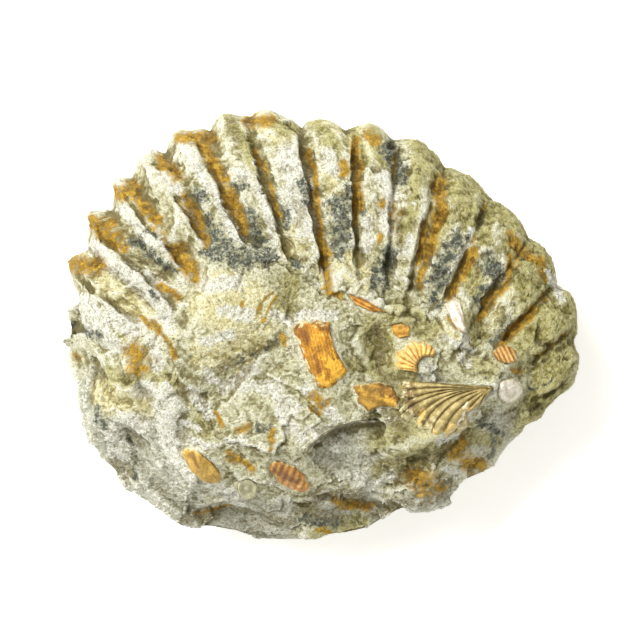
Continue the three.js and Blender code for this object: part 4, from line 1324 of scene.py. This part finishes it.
def new_group(name, inputs, outputs):
    tree = bpy.data.node_groups.new(name, "ShaderNodeTree")
    for label, kind in inputs.items():
        tree.interface.new_socket(label, in_out="INPUT", socket_type="NodeSocket" + kind)
    for label, kind in outputs.items():
        tree.interface.new_socket(label, in_out="OUTPUT", socket_type="NodeSocket" + kind)
    ends = tree.nodes.new("NodeGroupInput"), tree.nodes.new("NodeGroupOutput")
    return tree, ends[0].outputs, ends[1].inputs


def placed(tree, group, wanted):
    """Puts a node group into a material, with its own values, and gives the first thing it puts out."""
    made = tree.nodes.new("ShaderNodeGroup")
    made.node_tree = group
    fill(tree, made.inputs, wanted)
    return made.outputs[0]


print("half grey as a shader sees it:", round(tone(128, 128, 128)[0], 3))

# %% [markdown]
# Grain is wanted in every finish here, so it is a node group, built once. It gives noise of a size in
# metres, spread out so that it runs from 0 to 1 and not only near the middle, as plain noise does.

# %% Grain group
GRAIN_SPAN = (0.28, 0.72)  # nearly all of the noise lies between these
grain_tree, grain_in, grain_out = new_group(
    "stone_grain", {"Size": "Float", "Depth": "Float", "Roughness": "Float"}, {"Grain": "Float"}
)
place = node(grain_tree, "TexCoord").outputs["Object"]
scale = worked(grain_tree, "DIVIDE", 1.0, grain_in["Size"])
cloud_look = {"Detail": grain_in["Depth"], "Roughness": grain_in["Roughness"]}
cloud = node(grain_tree, "TexNoise", {"Vector": place, "Scale": scale, **cloud_look})
grain_tree.links.new(ranged(grain_tree, cloud.outputs[0], GRAIN_SPAN, (0.0, 1.0)), grain_out["Grain"])


def grain(tree, size_mm, depth=3.0, roughness=0.6):
    return placed(tree, grain_tree, {"Size": size_mm * MM, "Depth": depth, "Roughness": roughness})


print("nodes in the grain group:", len(grain_tree.nodes))

# %% [markdown]
# A stain lays one colour over another where a mask says. The grain eats into the mask's edge, so that the
# stain is ragged down to the smallest scale that is seen. Every finish uses it many times.

# %% Stain group
stain_tree, stain_in, stain_out = new_group(
    "stain",
    {
        "Surface": "Color", "Stain": "Color",
        "Mask": "Float", "Grain": "Float", "Raggedness": "Float", "Softness": "Float",
    },
    {"Color": "Color"},
)
off_middle = worked(stain_tree, "SUBTRACT", stain_in["Grain"], 0.5)
eaten = scaled(stain_tree, off_middle, stain_in["Raggedness"], stain_in["Mask"])
ends = [worked(stain_tree, operation, 0.5, stain_in["Softness"]) for operation in ("SUBTRACT", "ADD")]
covered = ranged(stain_tree, eaten, ends, (0.0, 1.0), interpolation_type="SMOOTHSTEP")
stained = mixed(stain_tree, covered, stain_in["Surface"], stain_in["Stain"])
stain_tree.links.new(stained, stain_out["Color"])


def stain(tree, surface, colour, mask, eat, raggedness, softness=0.2):
    look = {"Raggedness": raggedness, "Softness": softness}
    return placed(tree, stain_tree, {"Surface": surface, "Stain": colour, "Mask": mask, "Grain": eat, **look})


print("nodes in the stain group:", len(stain_tree.nodes))

# %% [markdown]
# Old stone is crossed by hair cracks. A Voronoi pattern's cell walls make such a net, and noise bends them
# so that no wall is straight.

# %% Crack group
CRACK_BEND = 1.6  # in cells
crack_tree, crack_in, crack_out = new_group(
    "fine_cracks", {"Size": "Float", "Width": "Float"}, {"Crack": "Float"}
)
place = node(crack_tree, "TexCoord").outputs["Object"]
scale = worked(crack_tree, "DIVIDE", 1.0, crack_in["Size"])
bends = node(crack_tree, "TexNoise", {"Vector": place, "Scale": scale, "Detail": 3.0}).outputs["Color"]
bends = node(crack_tree, "VectorMath", {0: bends, 1: (0.5, 0.5, 0.5)}, operation="SUBTRACT").outputs[0]
reach = worked(crack_tree, "MULTIPLY", crack_in["Size"], CRACK_BEND)
bends = node(crack_tree, "VectorMath", {0: bends, "Scale": reach}, operation="SCALE").outputs[0]
place = node(crack_tree, "VectorMath", {0: place, 1: bends}, operation="ADD").outputs[0]
cells = node(crack_tree, "TexVoronoi", {"Vector": place, "Scale": scale}, feature="DISTANCE_TO_EDGE")
crack = ranged(crack_tree, cells.outputs["Distance"], (0.0, crack_in["Width"]), (1.0, 0.0))
crack_tree.links.new(crack, crack_out["Crack"])


def cracks(tree, size_mm, width):
    return placed(tree, crack_tree, {"Size": size_mm * MM, "Width": width})


print("nodes in the crack group:", len(crack_tree.nodes))

# %% [markdown]
# Three things are the same in every finish of the fossil: a colour with three tones, which follow some
# grain, the numbers kept on the points of the mesh, and a speckle that makes grains lighter or darker.

# %% Helpers for the finishes
THREE_PLACES = (0.25, 0.5, 0.75)
SPECKLE_SPAN = (0.2, 0.8)
SPECKLE_SHADES = (0.8, 1.08)


def three_tones(tree, factor, deep, middle, bright):
    ramp = node(tree, "ValToRGB", {0: factor})
    first, last = ramp.color_ramp.elements
    first.position, _, last.position = THREE_PLACES
    first.color = deep
    last.color = bright
    ramp.color_ramp.elements.new(THREE_PLACES[1]).color = middle
    return ramp.outputs[0]


def marked(tree, name):
    return node(tree, "Attribute", attribute_name=name, attribute_type="GEOMETRY").outputs["Fac"]


def speckled(tree, colour, grains):
    shade = ranged(tree, grains, SPECKLE_SPAN, SPECKLE_SHADES)
    shade = node(tree, "CombineColor", {0: shade, 1: shade, 2: shade}).outputs[0]
    return mixed(tree, 1.0, colour, shade, "MULTIPLY")


def new_finish(name):
    material = bpy.data.materials.new(name)
    material.use_nodes = True
    return material, material.node_tree, material.node_tree.nodes["Principled BSDF"]


print("shades of a speckle:", SPECKLE_SHADES)

# %% [markdown]
# The whorl and the limestone are one rock with two finishes, so they draw on the same values: four sizes of
# grain, mixtures of them, two nets of hair cracks, and the edge, lump and stain marks on the mesh's points.

# %% Values for the stone
STONE_MARKS = ("edge", "swell", *STAINS)
STONE_GRAINS = {  # size in mm, octaves and roughness
    "wide": (6, 3.0, 0.6),
    "middle": (2.0, 5.0, 0.75),
    "fine": (0.75, 3.0, 0.7),
    "tiny": (0.4, 2.0, 0.6),
}
MIXTURES = {  # two grains, and the share of the first
    "speckle": ("fine", "middle", 0.6),
    "mottle": ("wide", "speckle", 0.4),
    "patchy": ("middle", "mottle", 0.7),
}
RAISED = {"edge": 0.1, "swell": 0.2}  # what raised edges and lumps add to the mottle: wear and painted highlight
CRACKS = (5.0, 0.05)  # size in mm and width, as a share of that size
VEINS = (2.6, 0.1)
VEIN_GAIN = 1.3


def stone_values(tree):
    values = {mark: marked(tree, mark) for mark in STONE_MARKS}
    for name, look in STONE_GRAINS.items():
        values[name] = grain(tree, *look)
    for name, (first, second, share) in MIXTURES.items():
        values[name] = shared(tree, values[first], values[second], share)
    values["raised"] = summed(tree, values, RAISED, values["mottle"])
    values["crack"] = times(tree, cracks(tree, *CRACKS), values["wide"])
    values["vein"] = times(tree, cracks(tree, *VEINS), times(tree, values["middle"], VEIN_GAIN))
    return values


print("numbers read from the points of the stone:", ", ".join(STONE_MARKS))

# %% [markdown]
# The stains are laid on one after another, as they were in the ground: fresh and rubbed stone first, then
# clay, earth with painted shade, chalk and manganese. Rust comes last of all, over the parts that are made
# pale by wear and painted highlight.

# %% Stains on the stone
STONE_STAINS = [  # mark, strength, what it loses, tones, what they follow, what eats it, raggedness, softness
    ("grey", 0.85, 0, [(158, 156, 136), (204, 204, 186), (232, 232, 218)], "mottle", "middle", 1.2, 0.35),
    ("cream", 1, 0, [(214, 203, 142), (237, 229, 176), (247, 242, 202)], "raised", "middle", 0.9, 0.4),
    ("olive", 1, 0, [(126, 118, 58), (168, 159, 90), (204, 197, 134)], "raised", "middle", 0.8, 0.5),
    # brown: earth, and painted shade at the ledges, in the gaps and along the lower rim
    ("brown", 0.6, 0, [(126, 114, 68)], None, "speckle", 1.6, 0.3),
    ("chalk", 1, -0.15, [(214, 211, 184), (243, 242, 226), (253, 253, 249)], "speckle", "speckle", 1.4, 0.3),
    ("dark", 0.75, 0, [(150, 152, 128)], None, "middle", 1.3, 0.3),
    ("dark", 0.62, 0, [(82, 88, 78)], None, "middle", 1.8, 0.2),
]
RUST = ("rust", 1.15, -0.15, [(116, 90, 24), (180, 138, 36), (218, 180, 76)], "patchy", "patchy", 1.5, 0.45)


def with_stain(tree, colour, values, row, shares):
    """Lays one stain on a colour. `shares` makes a stain weaker on this stone than on another."""
    mark, strength, loss, tones, follows, eater, raggedness, softness = row
    tones = [tone(*shown) for shown in tones]
    stain_colour = three_tones(tree, values[follows], *tones) if follows else tones[0]
    mask = scaled(tree, values[mark], strength * shares.get(mark, 1), loss)
    return stain(tree, colour, stain_colour, mask, values[eater], raggedness, softness)


print("stains on the stone:", len(STONE_STAINS) + 1)

# %% [markdown]
# What stands out is made pale, partly by wear, as on any stone that has been handled, and partly as a painted
# highlight, but less so in clay or manganese. What is sunken or cracked is darkened as painted shade. The
# stone is nearly dull, so only the bump catches the light.

# %% Stone finishes
# the pale tone of raised edges and lumps: wear and painted highlight
WORN_HIGHLIT_TONE = tone(250, 249, 234)
VEIN_TONE = tone(244, 241, 218)
# the olive brown of the painted shade in hollows and cracks
HOLLOW_SHADE_TONE = tone(150, 136, 88)
SPECK_TONE = tone(120, 110, 68)
BRIGHT_STONE = tone(236, 234, 206)
WORN_HIGHLIT = {"swell": 0.2, "edge": 0.4}
WORN_HIGHLIT_LOSS = -0.05
WORN_HIGHLIT_RAGGEDNESS = 0.75
WORN_HIGHLIT_LESS = {"olive": 0.5, "dark": 0.4}  # the shares by which clay and manganese hide the wear and the painted highlight
VEIN_STRENGTH = 0.35
# Painted shade: hollows, inward edges and hair cracks are darkened, up to a limit.
HOLLOW_SHADE = {"swell": -0.3, "edge": -0.35, "crack": 0.5}
HOLLOW_SHADE_MOST = 0.75
SPECK_GRAIN = (0.2, 0.34)  # the least of the tiny grain makes specks, from whole to none
SPECK_STRENGTH = (0.55, 0.0)
STONE_POLISH = 0.3
STONE_HEIGHTS = {"tiny": 0.6, "fine": 0.9, "middle": 3.0, "crack": -0.8}
STONE_BUMP = {"Strength": 0.8, "Distance": 0.0006}


# Where raised edges and lumps are made pale: partly wear, partly painted highlight.
def worn_highlit_ridge(tree, values):
    ridge = summed(tree, values, WORN_HIGHLIT, WORN_HIGHLIT_LOSS)
    for mark, share in WORN_HIGHLIT_LESS.items():
        ridge = times(tree, ridge, scaled(tree, values[mark], -share, 1))
    return ridge


def with_shade_and_specks(tree, colour, values):
    # Painted shade in hollows and cracks first, then dark specks from the tiny grain.
    sunken = worked(tree, "MINIMUM", summed(tree, values, HOLLOW_SHADE), HOLLOW_SHADE_MOST)
    colour = mixed(tree, sunken, colour, HOLLOW_SHADE_TONE, "MULTIPLY")
    specks = ranged(tree, values["tiny"], SPECK_GRAIN, SPECK_STRENGTH)
    return mixed(tree, specks, colour, SPECK_TONE)


def stone_colour(tree, values, light, shade, shares):
    colour = three_tones(tree, values["raised"], shade, light, BRIGHT_STONE)
    for row in STONE_STAINS:
        colour = with_stain(tree, colour, values, row, shares)
    colour = stain(tree, colour, WORN_HIGHLIT_TONE, worn_highlit_ridge(tree, values), values["speckle"], WORN_HIGHLIT_RAGGEDNESS)
    colour = mixed(tree, times(tree, values["vein"], VEIN_STRENGTH), colour, VEIN_TONE)
    colour = with_stain(tree, colour, values, RUST, shares)
    return speckled(tree, with_shade_and_specks(tree, colour, values), values["speckle"])


def stone_bump(tree, values):
    height = summed(tree, values, STONE_HEIGHTS)
    return node(tree, "Bump", {**STONE_BUMP, "Height": height}).outputs[0]


def stone_finish(name, light, shade, roughness, shares):
    material, tree, shader = new_finish(name)
    values = stone_values(tree)
    tree.links.new(stone_colour(tree, values, light, shade, shares), shader.inputs["Base Color"])
    tree.links.new(stone_bump(tree, values), shader.inputs["Normal"])
    shader.inputs["Roughness"].default_value = roughness
    shader.inputs["Specular IOR Level"].default_value = STONE_POLISH
    return material


cast_stone = stone_finish("cast_stone", tone(206, 200, 156), tone(160, 152, 106), 0.88, {})
limestone_shares = {"olive": 0.75, "rust": 0.92}
limestone = stone_finish("limestone", tone(213, 211, 172), tone(170, 164, 120), 0.93, limestone_shares)
pieces["ammonite"].data.materials.append(cast_stone)
pieces["matrix"].data.materials.append(limestone)
print("nodes in the limestone's finish:", len(limestone.node_tree.nodes))

# %% [markdown]
# A shell keeps a little of its old polish, so it is less rough than the stone. Its colour follows its ribs:
# deep between them and bright on them, with its margin worn pale. Its sharp edges are made pale, as wear and
# painted highlight, and its inward edges darker, as painted shade.

# %% Shell finishes
GLOW_TONE = tone(240, 186, 62)
DEEP_AND_SHADOW_TONE = tone(150, 120, 74)
PALE_TONE = tone(234, 228, 202)
MARGIN_TONE = tone(206, 197, 152)
# pale tone on sharp edges, wear and painted highlight, and dark tone on inward edges, painted shade
SHELL_WORN_HIGHLIT_TONE = tone(250, 246, 226)
SHELL_CREASE_SHADE_TONE = tone(120, 92, 50)
GLOW_STRENGTH = 0.8
DEEP_AND_SHADOW_STRENGTH = 0.7
PALE_STRENGTH = (0.9, -0.3)  # times the mask, and what it loses
RIB_BASE = (0.45, 0.28)  # the share of the coarse grain in the rib's tones, and where they start
MARGIN_SPAN = (0.7, 1.0)  # shares of the way out
MARGIN_STRENGTH = (-0.35, 0.6)
EDGE_WORN_HIGHLIT_STRENGTH = 0.1
SHELL_CREASE_SHADE = -0.6
SHELL_CREASE_SHADE_MOST = 0.7
SHELL_ROUGHNESS = 0.6
SHELL_BUMP = {"Strength": 0.6, "Distance": 0.0004}


def shell_colour(tree, coarse, fine, contrast, deep, middle, bright):
    marks = {name: marked(tree, name) for name in ("ribs", "share", "edge", *SHELL_STAINS)}
    wave = scaled(tree, marks["ribs"], contrast, scaled(tree, coarse, *RIB_BASE))
    colour = three_tones(tree, wave, deep, middle, bright)
    glow = mixed(tree, 0.5, bright, GLOW_TONE)
    colour = stain(tree, colour, glow, times(tree, marks["bright"], GLOW_STRENGTH), coarse, 1.3)
    # Darker where the top layer has gone, and painted shadow on the large scallop's left part.
    colour = mixed(tree, times(tree, marks["deep"], DEEP_AND_SHADOW_STRENGTH), colour, DEEP_AND_SHADOW_TONE, "MULTIPLY")
    colour = stain(tree, colour, PALE_TONE, scaled(tree, marks["pale"], *PALE_STRENGTH), coarse, 1.4)
    margin = ranged(tree, marks["share"], MARGIN_SPAN, MARGIN_STRENGTH)
    colour = stain(tree, colour, MARGIN_TONE, margin, coarse, 1.6)
    # Sharp edges made pale: wear and painted highlight.
    colour = stain(tree, colour, SHELL_WORN_HIGHLIT_TONE, times(tree, marks["edge"], EDGE_WORN_HIGHLIT_STRENGTH), fine, 0.7)
    # Inward edges darkened: painted shade.
    sunken = worked(tree, "MINIMUM", times(tree, marks["edge"], SHELL_CREASE_SHADE), SHELL_CREASE_SHADE_MOST)
    return speckled(tree, mixed(tree, sunken, colour, SHELL_CREASE_SHADE_TONE, "MULTIPLY"), fine)


def shell_finish(name, contrast, deep, middle, bright):
    material, tree, shader = new_finish(name)
    coarse = grain(tree, 2.2, 4.0, 0.65)
    fine = grain(tree, 0.5)
    colour = shell_colour(tree, coarse, fine, contrast, deep, middle, bright)
    bump = node(tree, "Bump", {**SHELL_BUMP, "Height": fine})
    tree.links.new(colour, shader.inputs["Base Color"])
    tree.links.new(bump.outputs[0], shader.inputs["Normal"])
    shader.inputs["Roughness"].default_value = SHELL_ROUGHNESS
    return material


SHELL_TONES = {  # how much the ribs show, and three tones: between the ribs, the shell's own, and on the ribs
    "large_scallop": (0.12, (88, 74, 34), (152, 133, 76), (202, 185, 130)),
    "small_scallop": (0.1, (170, 118, 44), (216, 172, 88), (240, 213, 148)),
    "ribbed_shell": (0.03, (116, 74, 10), (186, 128, 22), (224, 168, 40)),
    "worn_shell": (0.05, (100, 76, 22), (156, 118, 36), (206, 160, 60)),
    "shell_strip": (0.12, (110, 64, 20), (184, 122, 38), (222, 170, 80)),
    "shell_chip": (0.08, (120, 84, 28), (206, 152, 52), (232, 192, 98)),
    "round_shell": (0.02, (176, 160, 130), (228, 220, 202), (250, 247, 238)),
    "scallop_fragment": (0.14, (120, 80, 30), (184, 136, 66), (222, 184, 118)),
    "broken_shell": (0.08, (196, 160, 124), (232, 226, 210), (252, 250, 242)),
    "left_oval_shell": (0.04, (134, 102, 32), (186, 148, 58), (214, 180, 92)),
    "right_oval_shell": (0.07, (130, 90, 42), (182, 128, 58), (218, 172, 102)),
    "ring_shell": (0.06, (140, 136, 104), (182, 178, 142), (214, 210, 178)),
    "shell_edge": (0.05, (52, 50, 36), (92, 86, 64), (140, 134, 108)),
}
for name, (contrast, *tones) in SHELL_TONES.items():
    finish = shell_finish(name + "_finish", contrast, *(tone(*shown) for shown in tones))
    pieces[name].data.materials.append(finish)
print("finishes:", len(bpy.data.materials))

# %% [markdown]
# The fossil lies on plain white, as it would in a collection's record. The floor glows a little, so that it
# stays white to its edges, and it is a stage, so it is not a piece of the fossil.

# %% Floor
FLOOR_HALF = 3.0
FLOOR_DROP = 0.0002
FLOOR_PAINT = {
    "Base Color": (0.95, 0.95, 0.95, 1),
    "Roughness": 1,
    "Emission Color": (1, 1, 1, 1),
    "Emission Strength": 0.4,
}
corners = [(x * FLOOR_HALF, y * FLOOR_HALF, -FLOOR_DROP) for x, y in ((-1, -1), (1, -1), (1, 1), (-1, 1))]
floor_mesh = bpy.data.meshes.new("floor")
floor_mesh.from_pydata(corners, [], [(0, 1, 2, 3)])
floor = bpy.data.objects.new("floor", floor_mesh)
bpy.context.scene.collection.objects.link(floor)
floor_paint, floor_tree, floor_shader = new_finish("floor_paint")
fill(floor_tree, floor_shader.inputs, FLOOR_PAINT)
floor_mesh.materials.append(floor_paint)
print("floor height in metres:", -FLOOR_DROP)

# %% [markdown]
# Soft light from every side keeps the shadows open. One large lamp at the back left gives the ribs their
# modelling. It is wide, so that its shadows have no hard edge.

# %% Light
SKY = {"Color": (1, 0.98, 0.9, 1), "Strength": 0.7}
LAMP_WATTS = 27
LAMP_SIZE = 0.75
LAMP_PLACE = (-0.62, 0.5, 1.05)
world = bpy.data.worlds.new("soft_light")
world.use_nodes = True
fill(world.node_tree, world.node_tree.nodes["Background"].inputs, SKY)
bpy.context.scene.world = world

key_data = bpy.data.lights.new("key", "AREA")
key_data.energy = LAMP_WATTS
key_data.size = LAMP_SIZE
key = bpy.data.objects.new("key", key_data)
key.location = LAMP_PLACE
key.rotation_euler = (-key.location).to_track_quat("-Z", "Y").to_euler()
bpy.context.scene.collection.objects.link(key)
print("lamp distance in metres:", round(key.location.length, 2))
